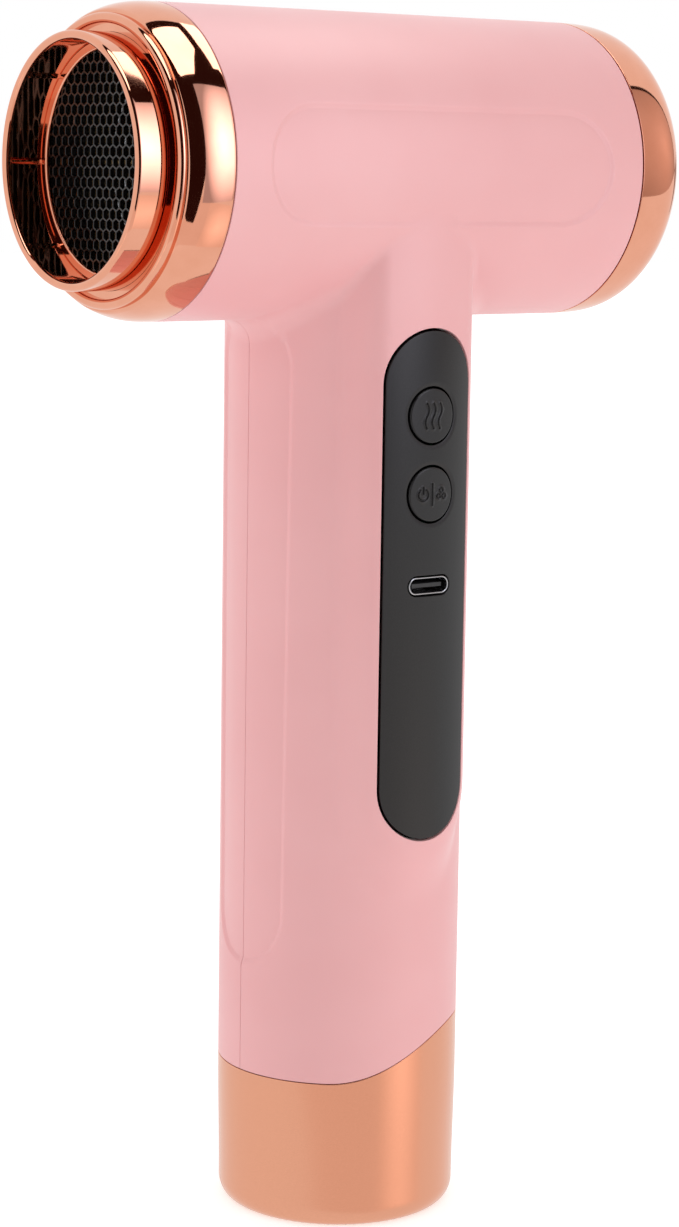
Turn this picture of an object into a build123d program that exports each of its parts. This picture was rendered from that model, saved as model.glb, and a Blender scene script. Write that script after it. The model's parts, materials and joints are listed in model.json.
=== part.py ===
from build123d import *
from math import cos, radians, sin, sqrt
import os

# Cordless travel hair dryer: a level barrel on an upright handle, made as separate pieces.
# Millimetres, +Z up, origin at the centre of the flat base, on the handle's axis. The outlet
# points to -Y, the air intake to +Y, and the control panel is on the +X side.

# --- driving dimensions: housing --------------------------------------------------------
handle_r = 22.3            # outside of the handle
wall = 1.8                 # moulded wall of the housing
axis_h = 192.2             # height of the barrel's axis over the base
barrel_r = 27.3            # outside of the barrel
front_seam_y = -44.0       # housing meets the outlet collar
rear_seam_y = 46.8         # housing meets the intake cap
seam_gap = 0.1             # gap left at a visible seam
neck_blend = 4.5           # fillet where the handle runs into the barrel
recess_depth = 0.5         # shallow recesses in the handle's front and the barrel's sides
recess_half_w = 9.8        # handle recess
recess_low_z = 48.0
recess_top_z = 166.3
barrel_recess_half_h = 10.3
recess_front_y = -36.6
recess_rear_y = 39.4
handle_in_r = handle_r - wall
barrel_in_r = barrel_r - wall
barrel_len = rear_seam_y - front_seam_y - 2 * seam_gap

# raised land round the control panel, on the +X side of the handle
boss_root_x = 15.5         # where the land's flanks leave the handle
boss_half_w = 15.2         # half width of the land there
boss_flank = 25            # slope of the flanks, degrees
boss_low_z = 48.0
boss_top_z = 186.0
boss_ramp_z = (57.0, 70.8)  # its lower end ramps up from the handle to the panel's face

# control panel
panel_r = 25.5             # its face is part of a cylinder about the handle's axis
panel_half_w = 9.65
panel_low_z = 72.6
panel_top_z = 163.9
panel_t = 1.8
panel_gap = 0.2
panel_mid_z = (panel_low_z + panel_top_z) / 2
panel_len = panel_top_z - panel_low_z
ledge_w = 1.6              # width of the shelf that the panel sits on

# boards
board_t = 1.2
board_x = 16.0             # back of the control board
board_half_w = 8.0
board_low_z = 100.0
board_top_z = 161.0
board_corner_r = 2.0
board_screw_z = (108.0, 124.2, 157.8)
board_screw_r = 0.9
board_screw_len = 3.5
board_head_r = 1.8
board_head_t = 1.2
screw_play = 0.15          # a screw's hole is this much larger in radius
pillar_r = 2.1
battery_board_z = 4.0
battery_board_r = 18.5
battery_chip = (4.0, 5.0, 1.0)
battery_chip_at = ((8, 3), (-8, -3))
driver_board_z = 150.0
driver_board_edge = 15.3   # where the driver board's flat is
transistor = (6.5, 6.1, 2.3)
transistor_at = ((-9, 10), (-9, -10), (3, 12))

# buttons and switches
heat_z = 148.8
power_z = 134.9
button_r = 4.85
button_gap = 0.3
button_travel = 0.5
button_proud = 0.15
flange_r = 5.6
flange_low_x = 21.9
flange_t = 0.8
stem_r = 1.6
plunger_top_x = 21.3
plunger_r = 1.7
plunger_len = 1.7
plunger_play = 0.1
plunger_room = 0.2         # space left under a plunger that is pressed home
switch_side = 6.0
switch_corner_r = 0.5
switch_low_x = board_x + board_t
switch_top_x = 20.7

# charging socket: a USB Type-C receptacle
socket_z = 118.6
socket_w = 8.94
socket_h = 3.16
socket_wall = 0.3
socket_face_x = 25.0
socket_gap = 0.3
socket_back = 0.6
tongue_w = 6.69
tongue_t = 0.7
tongue_setback = 0.6

# cells: two layers of three
cell_r = 9.15
cell_len = 65.0
cell_edge_r = 0.5
cell_ring_r = 10.62        # circle through the three cells' axes
cell_angles = (60, 180, 300)
strip_t = 0.2
strip_pad_r = 4.5          # round pad of a strip over each cell's end
strip_hole_r = 3.2         # hole in the middle of a strip
lower_cell_z = 9.2
holder_r = handle_in_r - 0.3
holder_web = 1.6
holder_grip = 5.0          # how far a holder reaches along a cell
pocket_clearance = 0.04
lead_slot_x = 14.6         # slot for the leads at each holder's edge
lead_slot_w = 5.5
driver_post_r = 2.2
driver_post_ring_r = 17.0
driver_post_angle = 60
upper_cell_z = lower_cell_z + cell_len + 2 * strip_t + holder_web
cells_top_z = upper_cell_z + cell_len

# bottom cap
cap_floor = 2.6
cap_edge_r = 2.7
cap_low_z = 27.3           # seam at the front of the handle
cap_high_z = 36.2          # seam at the rear
seam_turn_y = (-15.0, 14.0)  # the seam rises between these
seam_sag = 0.2             # how far its middle lies under the mean height
seam_reach = 80.0          # the seam's cutting solid covers the whole dryer
seam_top_z = 240.0
cap_lip = 3.0
cap_lip_t = 0.8
lip_clearance = 0.1
base_screw_y = (-12.0, 12.0)
base_screw_r = 1.25
base_screw_len = 8.0
base_head_r = 2.3
base_head_t = 1.3
base_head_sunk = 0.3       # the heads lie this far inside the base
base_head_play = 0.2
base_post_r = 3.0
cross_len = 2.6            # cross recess of a base screw
cross_w = 0.6
cross_depth = 0.8

# fan and motor, along the barrel's axis
fan_duct_r = 25.1
fan_duct_in_r = 23.6
fan_duct_y = (-7.0, 42.0)
hub_r = 15.2
hub_in_r = 14.1
hub_wall = 1.5
vane_count = 7
vane_t = 1.2
vane_len = 16.0
vane_y = 4.0
motor_r = 14.0
motor_y = (-4.0, 24.0)
motor_end_y = -6.0
can_wall = 1.0
motor_screw_x = 8.0
motor_screw_r = 1.0
motor_head_r = 1.9
motor_head_t = 1.0
shaft_r = 1.0
shaft_stub = 0.5           # shaft proud of the end cap
bush_r = 3.0
bush_len = 2.5
bush_clearance = 0.05
magnet_t = 1.8
magnet_split = 7.0         # gap between the two magnets
armature_y = (3.0, 18.0)
armature_r = motor_r - can_wall - magnet_t - 0.4
armature_poles = 5
armature_slot_r = 2.1
armature_slot_in = 2.4     # slot's middle, in from the armature's edge
armature_mouth = 1.2
commutator_r = 3.0
brush_size = (2.0, 5.0, 2.2)
brush_play = 0.15
brush_setback = 0.6
impeller_y = (28.0, 39.5)
impeller_hub_r = 12.5
impeller_nose_r = 4.0
impeller_wall = 1.5
impeller_core_r = 3.0
impeller_hollow = 6.0
blade_count = 9
blade_tip_r = 22.9
blade_t = 1.3
blade_root = (impeller_hub_r - 0.8, 5.2, 38)  # radius, half chord and pitch in degrees
blade_tip = (blade_tip_r, 6.0, 58)

# heater
heater_y = (-43.0, -12.0)
heater_sleeve_r = 23.2
heater_sleeve_t = 0.6
mica_t = 0.6
mica_r = 22.4
mica_y = (-42.0, -13.0)
coil_r = 17.0
coil_wire_r = 0.4
coil_pitch = 2.2
coil_turns = 11
coil_first_y = mica_y[0] + 2.5
coil_slot_r = 0.5          # notches in the mica that hold the wire
cutoff_size = (3.4, 6.0, 9.0)
cutoff_corner_r = 0.8
cutoff_at = (mica_t / 2 + 1.7, -8.0)
cutoff_y = mica_y[1] - 11.0

# leads
lead_r = 0.6
battery_lead_y = (-1.3, 1.3)
board_link_y = (-6, -2, 2, 6)
motor_lead_x = (-4, 4)
motor_lead_y = -8.4
motor_lead_drop = 9.0
heater_lead_y = -10.4
heater_lead_x = (0, 8)
heater_lead_drop = (18.0, 0.0)
lead_bend_r = 1.5
motor_lead_bend_r = 1.0
heater_lead_bend_r = 0.8

# outlet
rim_y = -59.9              # front edge of the outlet sleeve
rim_t = 1.0
collar_end_y = -52.5
collar_end_r = 25.3
bead_r = 24.8              # rolled bead on the collar's front
bead_in_r = 23.3
bead_end_y = -53.7
bead_round = 0.5
collar_round = 0.3
groove_y = -52.3           # bottom of the groove between the bead and the sleeve
sleeve_r = 21.9
sleeve_end_y = -54.0       # the plain sleeve that takes a nozzle ends at a small shoulder here
shoulder_r = 22.9
sleeve_in_r = 20.7
lip_in_r = 20.35
lip_round = 0.6
rib_count = 8
rib_h = 0.5
rib_w = 0.8
ring_y = -52.3             # front face of the grille's retaining ring
ring_in_r = 19.1
ring_t = 0.9
grille_t = 1.0
grille_pitch = 2.05        # between neighbouring hexagons
grille_web = 0.4
grille_y = (ring_y + ring_t, ring_y + ring_t + grille_t)
seat_y = -51.1             # front of the sleeve's flange, behind the collar's lip
seat_back_y = -49.8
seat_r = 23.5
seat_play = 0.1

# intake cap and filter
rear_top_y = 61.9          # crown of the intake cap
rear_flat_r = 13.0
rear_flat_drop = 0.8
rear_turn_y = 57.2
rear_turn_r = 23.9
cap_wall = 1.6
spigot_len = 3.0
spigot_clearance = 0.1
spigot_r = barrel_in_r - spigot_clearance
spigot_in_r = spigot_r - cap_wall
intake_hole_r = 0.9
intake_pitch = 2.9
intake_rings = 6
filter_pitch = 3.0
filter_hole_r = 1.1
filter_t = 0.8
filter_rows = 15

barrel_axis = Axis((0, 0, axis_h), (0, 1, 0))
barrel_side = Plane(origin=(0, 0, axis_h), x_dir=(0, 1, 0), z_dir=(1, 0, 0))


def across_barrel(y):
    """A plane across the barrel at y, whose normal points to the intake."""
    return Plane(origin=(0, y, axis_h), x_dir=(1, 0, 0), z_dir=(0, 1, 0))


def panel_plane(x, z):
    """A plane facing the panel at x, centred at height z: its x runs along Y, its y along Z."""
    return Plane(origin=(x, 0, z), x_dir=(0, 1, 0), z_dir=(1, 0, 0))


def save(piece, name):
    """Label a finished piece and write it under its own name."""
    piece.part.label = name
    export_step(piece.part, f"parts/{name}.step")


def barrel_tube(outer_r, inner_r, y0, y1):
    """A plain tube about the barrel's axis."""
    with BuildPart() as tube:
        with BuildSketch(across_barrel(y0)):
            Circle(outer_r)
            if inner_r > 0:
                Circle(inner_r, mode=Mode.SUBTRACT)
        extrude(amount=y1 - y0)
    return tube


os.makedirs("parts", exist_ok=True)

# --- seam between the handle and the bottom cap: low at the front, high at the rear -----
with BuildPart() as above_seam:
    with BuildSketch(Plane.YZ):
        with BuildLine():
            low = Line((-seam_reach, cap_low_z), (seam_turn_y[0], cap_low_z))
            high = Line((seam_turn_y[1], cap_high_z), (seam_reach, cap_high_z))
            middle = (0, (cap_low_z + cap_high_z) / 2 - seam_sag)
            Spline(low @ 1, middle, high @ 0, tangents=[(1, 0), (1, 0)])
            Polyline(high @ 1, (seam_reach, seam_top_z), (-seam_reach, seam_top_z), low @ 0)
        make_face()
    extrude(amount=barrel_r, both=True)

# --- housing: outside shape -------------------------------------------------------------
with BuildPart() as boss:
    with BuildSketch(panel_plane(boss_root_x, (boss_low_z + boss_top_z) / 2)):
        SlotOverall(boss_top_z - boss_low_z, 2 * boss_half_w, rotation=90)
    extrude(amount=panel_r - boss_root_x + 1, taper=boss_flank)
    with BuildSketch(Plane.XY.offset(boss_low_z)):
        Circle(panel_r)
    extrude(amount=boss_top_z - boss_low_z, mode=Mode.INTERSECT)
    ramp_rise = boss_ramp_z[1] - boss_ramp_z[0]
    ramp = Plane(origin=(handle_r, 0, boss_ramp_z[0]), x_dir=(0, 1, 0),
                 z_dir=(ramp_rise, 0, handle_r - panel_r))
    split(bisect_by=ramp, keep=Keep.BOTTOM)

with BuildPart() as housing:
    with BuildSketch(across_barrel(front_seam_y + seam_gap)):
        Circle(barrel_r)
    extrude(amount=barrel_len)
    with BuildSketch(Plane.XY.offset(cap_low_z - 1)):
        Circle(handle_r)
    extrude(amount=axis_h - cap_low_z + 1)
    neck = housing.edges().filter_by_position(Axis.Z, axis_h - barrel_r + 0.5, axis_h - 5)
    neck = neck.filter_by(lambda e: abs(e.center().Y) < handle_r + 1)
    fillet(neck, radius=neck_blend)
    add(boss.part)

    # inside: the barrel, the handle and the space behind the control panel
    with BuildSketch(across_barrel(front_seam_y)):
        Circle(barrel_in_r)
    extrude(amount=barrel_len + 2 * seam_gap, mode=Mode.SUBTRACT)
    with BuildSketch(Plane.XY.offset(cap_low_z - 1)):
        Circle(handle_in_r)
    extrude(amount=axis_h - cap_low_z + 1, mode=Mode.SUBTRACT)
    with BuildSketch(panel_plane(0, panel_mid_z)):
        SlotOverall(panel_len - 2 * ledge_w, 2 * (panel_half_w - ledge_w), rotation=90)
    extrude(amount=panel_r + 1, mode=Mode.SUBTRACT)

# --- tools that cut the shallow recesses and the panel's seat ---------------------------
with BuildPart() as panel_seat:
    with BuildSketch(panel_plane(handle_in_r, panel_mid_z)):
        SlotOverall(panel_len + 2 * panel_gap, 2 * (panel_half_w + panel_gap), rotation=90)
    extrude(amount=panel_r)
    with BuildSketch(Plane.XY):
        Circle(panel_r - panel_t)
    extrude(amount=axis_h, mode=Mode.SUBTRACT)

with BuildPart() as handle_recess:
    with BuildSketch(Plane.XZ):
        with Locations((0, (recess_low_z + recess_top_z) / 2)):
            SlotOverall(recess_top_z - recess_low_z, 2 * recess_half_w, rotation=90)
    extrude(amount=handle_r + 1)
    with BuildSketch(Plane.XY):
        Circle(handle_r - recess_depth)
    extrude(amount=axis_h, mode=Mode.SUBTRACT)

with BuildPart() as barrel_recess:
    with BuildSketch(barrel_side):
        with Locations(((recess_front_y + recess_rear_y) / 2, 0)):
            SlotOverall(recess_rear_y - recess_front_y, 2 * barrel_recess_half_h)
    extrude(amount=barrel_r + 1, both=True)
    with BuildSketch(across_barrel(front_seam_y)):
        Circle(barrel_r - recess_depth)
    extrude(amount=barrel_len, mode=Mode.SUBTRACT)

# rebate inside the handle's lower edge, where the cap's lip goes
with BuildPart() as cap_lip_space:
    with BuildSketch(Plane.XY):
        Circle(handle_in_r + cap_lip_t + lip_clearance)
        Circle(handle_in_r - 1, mode=Mode.SUBTRACT)
    extrude(amount=axis_h / 2)
    add(Pos(0, 0, cap_lip + lip_clearance) * above_seam.part, mode=Mode.SUBTRACT)

with BuildPart(mode=Mode.PRIVATE) as whole_housing:
    add(housing.part)
    add(panel_seat.part, mode=Mode.SUBTRACT)
    add(handle_recess.part, mode=Mode.SUBTRACT)
    add(barrel_recess.part, mode=Mode.SUBTRACT)
    add(cap_lip_space.part, mode=Mode.SUBTRACT)
    add(Pos(0, 0, seam_gap) * above_seam.part, mode=Mode.INTERSECT)

shell_plane = {"housing_right_shell": Keep.TOP, "housing_left_shell": Keep.BOTTOM}
for name, side in shell_plane.items():
    with BuildPart() as shell:
        add(whole_housing.part)
        split(bisect_by=Plane.YZ, keep=side)
    save(shell, name)

# --- bottom cap: a cup whose lip reaches into the handle --------------------------------
with BuildPart() as bottom_cap:
    with BuildSketch(Plane.XY):
        Circle(handle_r)
    extrude(amount=axis_h / 2)
    fillet(bottom_cap.faces().sort_by(Axis.Z)[0].edges(), radius=cap_edge_r)
    add(above_seam.part, mode=Mode.SUBTRACT)
    with BuildSketch(Plane.XY.offset(cap_floor)):
        Circle(handle_in_r + cap_lip_t)
        Circle(handle_in_r, mode=Mode.SUBTRACT)
    extrude(amount=axis_h / 2)
    add(Pos(0, 0, cap_lip) * above_seam.part, mode=Mode.SUBTRACT)
    with BuildSketch(Plane.XY.offset(cap_floor)):
        Circle(handle_in_r)
    extrude(amount=axis_h, mode=Mode.SUBTRACT)
    with Locations(*[(0, y, 0) for y in base_screw_y]):
        Hole(base_screw_r + screw_play)
    with BuildSketch(Plane.XY):
        with Locations(*[(0, y) for y in base_screw_y]):
            Circle(base_head_r + base_head_play)
    extrude(amount=base_head_t + base_head_sunk, mode=Mode.SUBTRACT)
save(bottom_cap, "bottom_cap")

with BuildPart() as base_screws:
    with BuildSketch(Plane.XY.offset(base_head_sunk)):
        with Locations(*[(0, y) for y in base_screw_y]):
            Circle(base_head_r)
    extrude(amount=base_head_t)
    with BuildSketch(Plane.XY.offset(base_head_sunk)):
        with Locations(*[(0, y) for y in base_screw_y]):
            Circle(base_screw_r)
    extrude(amount=base_screw_len)
    with BuildSketch(Plane.XY.offset(base_head_sunk)):
        with Locations(*[(0, y) for y in base_screw_y]):
            Rectangle(cross_len, cross_w)
            Rectangle(cross_w, cross_len)
    extrude(amount=cross_depth, mode=Mode.SUBTRACT)
save(base_screws, "base_screws")

# --- cells, their strips and holders ----------------------------------------------------
cell_spots = [(cell_ring_r * cos(radians(a)), cell_ring_r * sin(radians(a))) for a in cell_angles]
for layer, low_z in (("lower", lower_cell_z), ("upper", upper_cell_z)):
    for number, spot in enumerate(cell_spots, start=1):
        with BuildPart() as cell:
            with BuildSketch(Plane.XY.offset(low_z)):
                with Locations(spot):
                    Circle(cell_r)
            extrude(amount=cell_len)
            fillet(cell.edges(), radius=cell_edge_r)
        save(cell, f"{layer}_cell_{number}")

strip_z = {
    "bottom_cell_strip": lower_cell_z - strip_t,
    "middle_cell_strip": lower_cell_z + cell_len,
    "top_cell_strip": cells_top_z,
}
strips = {}
for name, low_z in strip_z.items():
    with BuildPart() as strip:
        with BuildSketch(Plane.XY.offset(low_z)):
            for spot in cell_spots:
                with Locations(spot):
                    Circle(strip_pad_r)
            with BuildLine():
                Polyline(*cell_spots, cell_spots[0])
            make_face()
            Circle(strip_hole_r, mode=Mode.SUBTRACT)
        extrude(amount=strip_t)
    strips[name] = strip
    save(strip, name)


def cell_holder(low_z, height, pockets):
    """A round plate that fills the handle, with a pocket for each (low, high) of the cells."""
    with BuildPart() as holder:
        with BuildSketch(Plane.XY.offset(low_z)):
            Circle(holder_r)
        extrude(amount=height)
        for pocket_low, pocket_high in pockets:
            with BuildSketch(Plane.XY.offset(pocket_low)):
                for spot in cell_spots:
                    with Locations(spot):
                        Circle(cell_r + pocket_clearance)
            extrude(amount=pocket_high - pocket_low, mode=Mode.SUBTRACT)
        # slot for the leads between the two layers and the boards
        with BuildSketch(Plane.XY.offset(low_z)):
            with Locations((holder_r, 0)):
                Rectangle(2 * (holder_r - lead_slot_x), lead_slot_w)
        extrude(amount=height, mode=Mode.SUBTRACT)
    return holder


bottom_holder_z = lower_cell_z - strip_t - holder_web
bottom_holder = cell_holder(bottom_holder_z, holder_web + strip_t + holder_grip,
                            [(lower_cell_z - strip_t, lower_cell_z + holder_grip)])
with BuildPart() as battery_cradle:
    add(bottom_holder.part)
    add(strips["bottom_cell_strip"].part, mode=Mode.SUBTRACT)
    # posts that take the base screws
    with BuildSketch(Plane.XY.offset(cap_floor)):
        with Locations(*[(0, y) for y in base_screw_y]):
            Circle(base_post_r)
    extrude(amount=bottom_holder_z - cap_floor)
    with Locations(*[(0, y, bottom_holder_z) for y in base_screw_y]):
        Hole(base_screw_r, depth=base_screw_len)
save(battery_cradle, "battery_cradle")

middle_low = lower_cell_z + cell_len - holder_grip
with BuildPart() as middle_holder:
    add(cell_holder(middle_low, 2 * holder_grip + 2 * strip_t + holder_web,
                    [(middle_low, lower_cell_z + cell_len + strip_t),
                     (upper_cell_z - strip_t, upper_cell_z + holder_grip)]).part)
    add(strips["middle_cell_strip"].part, mode=Mode.SUBTRACT)
save(middle_holder, "middle_cell_holder")

top_low = cells_top_z - holder_grip
with BuildPart() as top_holder:
    add(cell_holder(top_low, holder_grip + strip_t + holder_web,
                    [(top_low, cells_top_z + strip_t)]).part)
    add(strips["top_cell_strip"].part, mode=Mode.SUBTRACT)
    # flat that clears the control board
    with BuildSketch(Plane.XY.offset(top_low)):
        with Locations((holder_r, 0)):
            Rectangle(2 * (holder_r - board_x + 0.3), 2 * board_half_w + 1)
    extrude(amount=axis_h - top_low, mode=Mode.SUBTRACT)
    # posts that carry the driver board
    posts_low = cells_top_z + strip_t + holder_web
    with BuildSketch(Plane.XY.offset(posts_low)):
        with PolarLocations(driver_post_ring_r, 3, start_angle=driver_post_angle):
            Circle(driver_post_r)
    extrude(amount=driver_board_z - posts_low)
save(top_holder, "top_cell_holder")

# --- boards -----------------------------------------------------------------------------
with BuildPart() as battery_board:
    with BuildSketch(Plane.XY.offset(battery_board_z)):
        Circle(battery_board_r)
        with Locations(*[(0, y) for y in base_screw_y]):
            Circle(base_post_r + base_head_play, mode=Mode.SUBTRACT)
    extrude(amount=board_t)
    with BuildSketch(Plane.XY.offset(battery_board_z + board_t)):
        with Locations(*battery_chip_at):
            Rectangle(battery_chip[0], battery_chip[1])
    extrude(amount=battery_chip[2])
save(battery_board, "battery_board")

with BuildPart() as control_board:
    with BuildSketch(panel_plane(board_x, (board_low_z + board_top_z) / 2)):
        RectangleRounded(2 * board_half_w, board_top_z - board_low_z, board_corner_r)
    extrude(amount=board_t)
    with Locations(*[panel_plane(board_x, z) for z in board_screw_z]):
        Hole(board_screw_r + screw_play)
save(control_board, "control_board")

with BuildPart() as driver_board:
    with BuildSketch(Plane.XY.offset(driver_board_z)):
        Circle(holder_r)
        with Locations((holder_r, 0)):
            Rectangle(2 * (holder_r - driver_board_edge), 2 * holder_r, mode=Mode.SUBTRACT)
    extrude(amount=board_t)
save(driver_board, "driver_board")

with BuildPart() as power_transistors:
    with BuildSketch(Plane.XY.offset(driver_board_z + board_t)):
        with Locations(*transistor_at):
            Rectangle(transistor[0], transistor[1])
    extrude(amount=transistor[2])
save(power_transistors, "power_transistors")

# --- control panel, buttons, switches and charging socket -------------------------------
with BuildPart() as control_panel:
    with BuildSketch(panel_plane(handle_in_r, panel_mid_z)):
        SlotOverall(panel_len, 2 * panel_half_w, rotation=90)
    extrude(amount=panel_r)
    with BuildSketch(Plane.XY):
        Circle(panel_r)
        Circle(panel_r - panel_t, mode=Mode.SUBTRACT)
    extrude(amount=axis_h, mode=Mode.INTERSECT)
    # pillars for the board's screws
    with BuildSketch(panel_plane(switch_low_x, 0)):
        with Locations(*[(0, z) for z in board_screw_z]):
            Circle(pillar_r)
    extrude(amount=panel_r - panel_t - switch_low_x + 0.2)
    with BuildSketch(panel_plane(switch_low_x, 0)):
        with Locations(*[(0, z) for z in board_screw_z]):
            Circle(board_screw_r)
    extrude(amount=board_screw_len, mode=Mode.SUBTRACT)
    with BuildSketch(panel_plane(handle_in_r, 0)):
        with Locations((0, heat_z), (0, power_z)):
            Circle(button_r + button_gap)
        with Locations((0, socket_z)):
            SlotOverall(socket_w + 2 * socket_gap, socket_h + 2 * socket_gap)
    extrude(amount=panel_r, mode=Mode.SUBTRACT)
save(control_panel, "control_panel")

with BuildPart() as board_screws:
    with BuildSketch(panel_plane(board_x - board_head_t, 0)):
        with Locations(*[(0, z) for z in board_screw_z]):
            Circle(board_head_r)
    extrude(amount=board_head_t)
    with BuildSketch(panel_plane(board_x, 0)):
        with Locations(*[(0, z) for z in board_screw_z]):
            Circle(board_screw_r)
    extrude(amount=board_t + board_screw_len)
save(board_screws, "control_board_screws")

for name, z in (("heat", heat_z), ("power", power_z)):
    with BuildPart() as button:
        with BuildSketch(panel_plane(flange_low_x, z)):
            Circle(button_r)
        extrude(amount=panel_r)
        with BuildSketch(Plane.XY):
            Circle(panel_r + button_proud)
        extrude(amount=axis_h, mode=Mode.INTERSECT)
        with BuildSketch(panel_plane(flange_low_x, z)):
            Circle(flange_r)
        extrude(amount=flange_t)
        with BuildSketch(panel_plane(plunger_top_x, z)):
            Circle(stem_r)
        extrude(amount=flange_low_x - plunger_top_x)
    save(button, f"{name}_button")

    with BuildPart() as plunger:
        with BuildSketch(panel_plane(plunger_top_x - plunger_len, z)):
            Circle(plunger_r)
        extrude(amount=plunger_len)
    save(plunger, f"{name}_switch_plunger")

    with BuildPart() as switch:
        with BuildSketch(panel_plane(switch_low_x, z)):
            RectangleRounded(switch_side, switch_side, switch_corner_r)
        extrude(amount=switch_top_x - switch_low_x)
        with BuildSketch(panel_plane(plunger_top_x - plunger_len - button_travel - plunger_room, z)):
            Circle(plunger_r + plunger_play)
        extrude(amount=switch_side, mode=Mode.SUBTRACT)
    save(switch, f"{name}_switch")

with BuildPart() as socket_shell:
    with BuildSketch(panel_plane(switch_low_x, socket_z)):
        SlotOverall(socket_w, socket_h)
    extrude(amount=socket_face_x - switch_low_x)
    with BuildSketch(panel_plane(switch_low_x + socket_back, socket_z)):
        SlotOverall(socket_w - 2 * socket_wall, socket_h - 2 * socket_wall)
    extrude(amount=panel_r, mode=Mode.SUBTRACT)
save(socket_shell, "charging_socket_shell")

with BuildPart() as socket_tongue:
    with BuildSketch(panel_plane(switch_low_x + socket_back, socket_z)):
        Rectangle(tongue_w, tongue_t)
    extrude(amount=socket_face_x - switch_low_x - socket_back - tongue_setback)
save(socket_tongue, "charging_socket_tongue")

# --- leads: straight runs joined by arcs ------------------------------------------------
def lead(points, radius):
    """One insulated wire along a path with rounded corners."""
    with BuildPart() as wire:
        with BuildLine() as path:
            if len(points) > 2:
                FilletPolyline(*points, radius=radius)
            else:
                Line(*points)
        with BuildSketch(Plane(origin=points[0], z_dir=path.line % 0)):
            Circle(lead_r)
        sweep()
    return wire


def save_leads(paths, name, radius):
    """Several wires in one node."""
    with BuildPart() as leads:
        for points in paths:
            add(lead(points, radius).part)
    save(leads, name)


lead_x = board_x + board_t / 2
link_z = driver_board_z + board_t / 2
driver_top_z = driver_board_z + board_t
battery_paths = [[(lead_x, y, battery_board_z + board_t), (lead_x, y, board_low_z)]
                 for y in battery_lead_y]
link_paths = [[(driver_board_edge, y, link_z), (board_x, y, link_z)] for y in board_link_y]
motor_paths = [[(x, motor_lead_y, driver_top_z), (x, motor_lead_y, axis_h - motor_lead_drop),
                (x, motor_end_y, axis_h - motor_lead_drop)] for x in motor_lead_x]
heater_paths = [[(x, heater_lead_y, driver_top_z), (x, heater_lead_y, axis_h - drop),
                 (x, mica_y[1], axis_h - drop)] for x, drop in zip(heater_lead_x, heater_lead_drop)]
save_leads(battery_paths, "battery_leads", lead_bend_r)
save_leads(link_paths, "board_links", lead_bend_r)
save_leads(motor_paths, "motor_leads", motor_lead_bend_r)
save_leads(heater_paths, "heater_leads", heater_lead_bend_r)

# --- intake cap and filter --------------------------------------------------------------
with BuildPart() as rear_cap:
    with BuildSketch(barrel_side):
        with BuildLine():
            crown = Line((rear_top_y, 0), (rear_top_y - rear_flat_drop, rear_flat_r))
            shoulder = Spline(crown @ 1, (rear_turn_y, rear_turn_r), (rear_seam_y, barrel_r),
                              tangents=[(-0.35, 1), (-1, 0)])
            Polyline(shoulder @ 1, (rear_seam_y, 0), crown @ 0)
        make_face()
    revolve(axis=barrel_axis)
    rear_faces = rear_cap.faces().sort_by(Axis.Y)[0]
    offset(amount=-cap_wall, openings=rear_faces)
    with BuildSketch(across_barrel(rear_seam_y - spigot_len)):
        Circle(spigot_r)
        Circle(spigot_in_r, mode=Mode.SUBTRACT)
    extrude(amount=spigot_len)
    with BuildSketch(across_barrel(rear_seam_y)):
        Circle(barrel_r - cap_wall / 2)
        Circle(spigot_in_r, mode=Mode.SUBTRACT)
    extrude(amount=cap_wall)
    # intake holes in rings about the crown
    with BuildSketch(across_barrel(rear_seam_y)):
        Circle(intake_hole_r)
        for ring in range(1, intake_rings + 1):
            with PolarLocations(ring * intake_pitch, 6 * ring):
                Circle(intake_hole_r)
    extrude(amount=rear_top_y, mode=Mode.SUBTRACT)
save(rear_cap, "rear_cap")

with BuildPart() as intake_filter:
    with BuildSketch(across_barrel(rear_seam_y - spigot_len)):
        Circle(spigot_in_r)
        spots = HexLocations(filter_pitch / 2, filter_rows, filter_rows)
        inner = [p for p in spots.local_locations if p.position.length < spigot_in_r - filter_pitch]
        with Locations(*inner):
            Circle(filter_hole_r, mode=Mode.SUBTRACT)
    extrude(amount=filter_t)
save(intake_filter, "intake_filter")

# --- fan duct, motor and impeller -------------------------------------------------------
with BuildPart() as fan_duct:
    with BuildSketch(across_barrel(fan_duct_y[0])):
        Circle(fan_duct_r)
        Circle(fan_duct_in_r, mode=Mode.SUBTRACT)
    extrude(amount=fan_duct_y[1] - fan_duct_y[0])
    with BuildSketch(across_barrel(motor_y[0])):
        Circle(hub_r)
        Circle(hub_in_r, mode=Mode.SUBTRACT)
    extrude(amount=motor_y[1] - motor_y[0])
    with BuildSketch(across_barrel(motor_y[1])):
        Circle(hub_r)
        Circle(bush_r + 0.2, mode=Mode.SUBTRACT)
        with Locations((motor_screw_x, 0), (-motor_screw_x, 0)):
            Circle(motor_screw_r + screw_play, mode=Mode.SUBTRACT)
    extrude(amount=hub_wall)
    with BuildSketch(across_barrel(vane_y)):
        with PolarLocations((hub_r + fan_duct_in_r) / 2, vane_count):
            Rectangle(fan_duct_in_r - hub_r + 1, vane_t)
        Circle(hub_r - 0.3, mode=Mode.SUBTRACT)
    extrude(amount=vane_len)
save(fan_duct, "fan_duct")

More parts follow.
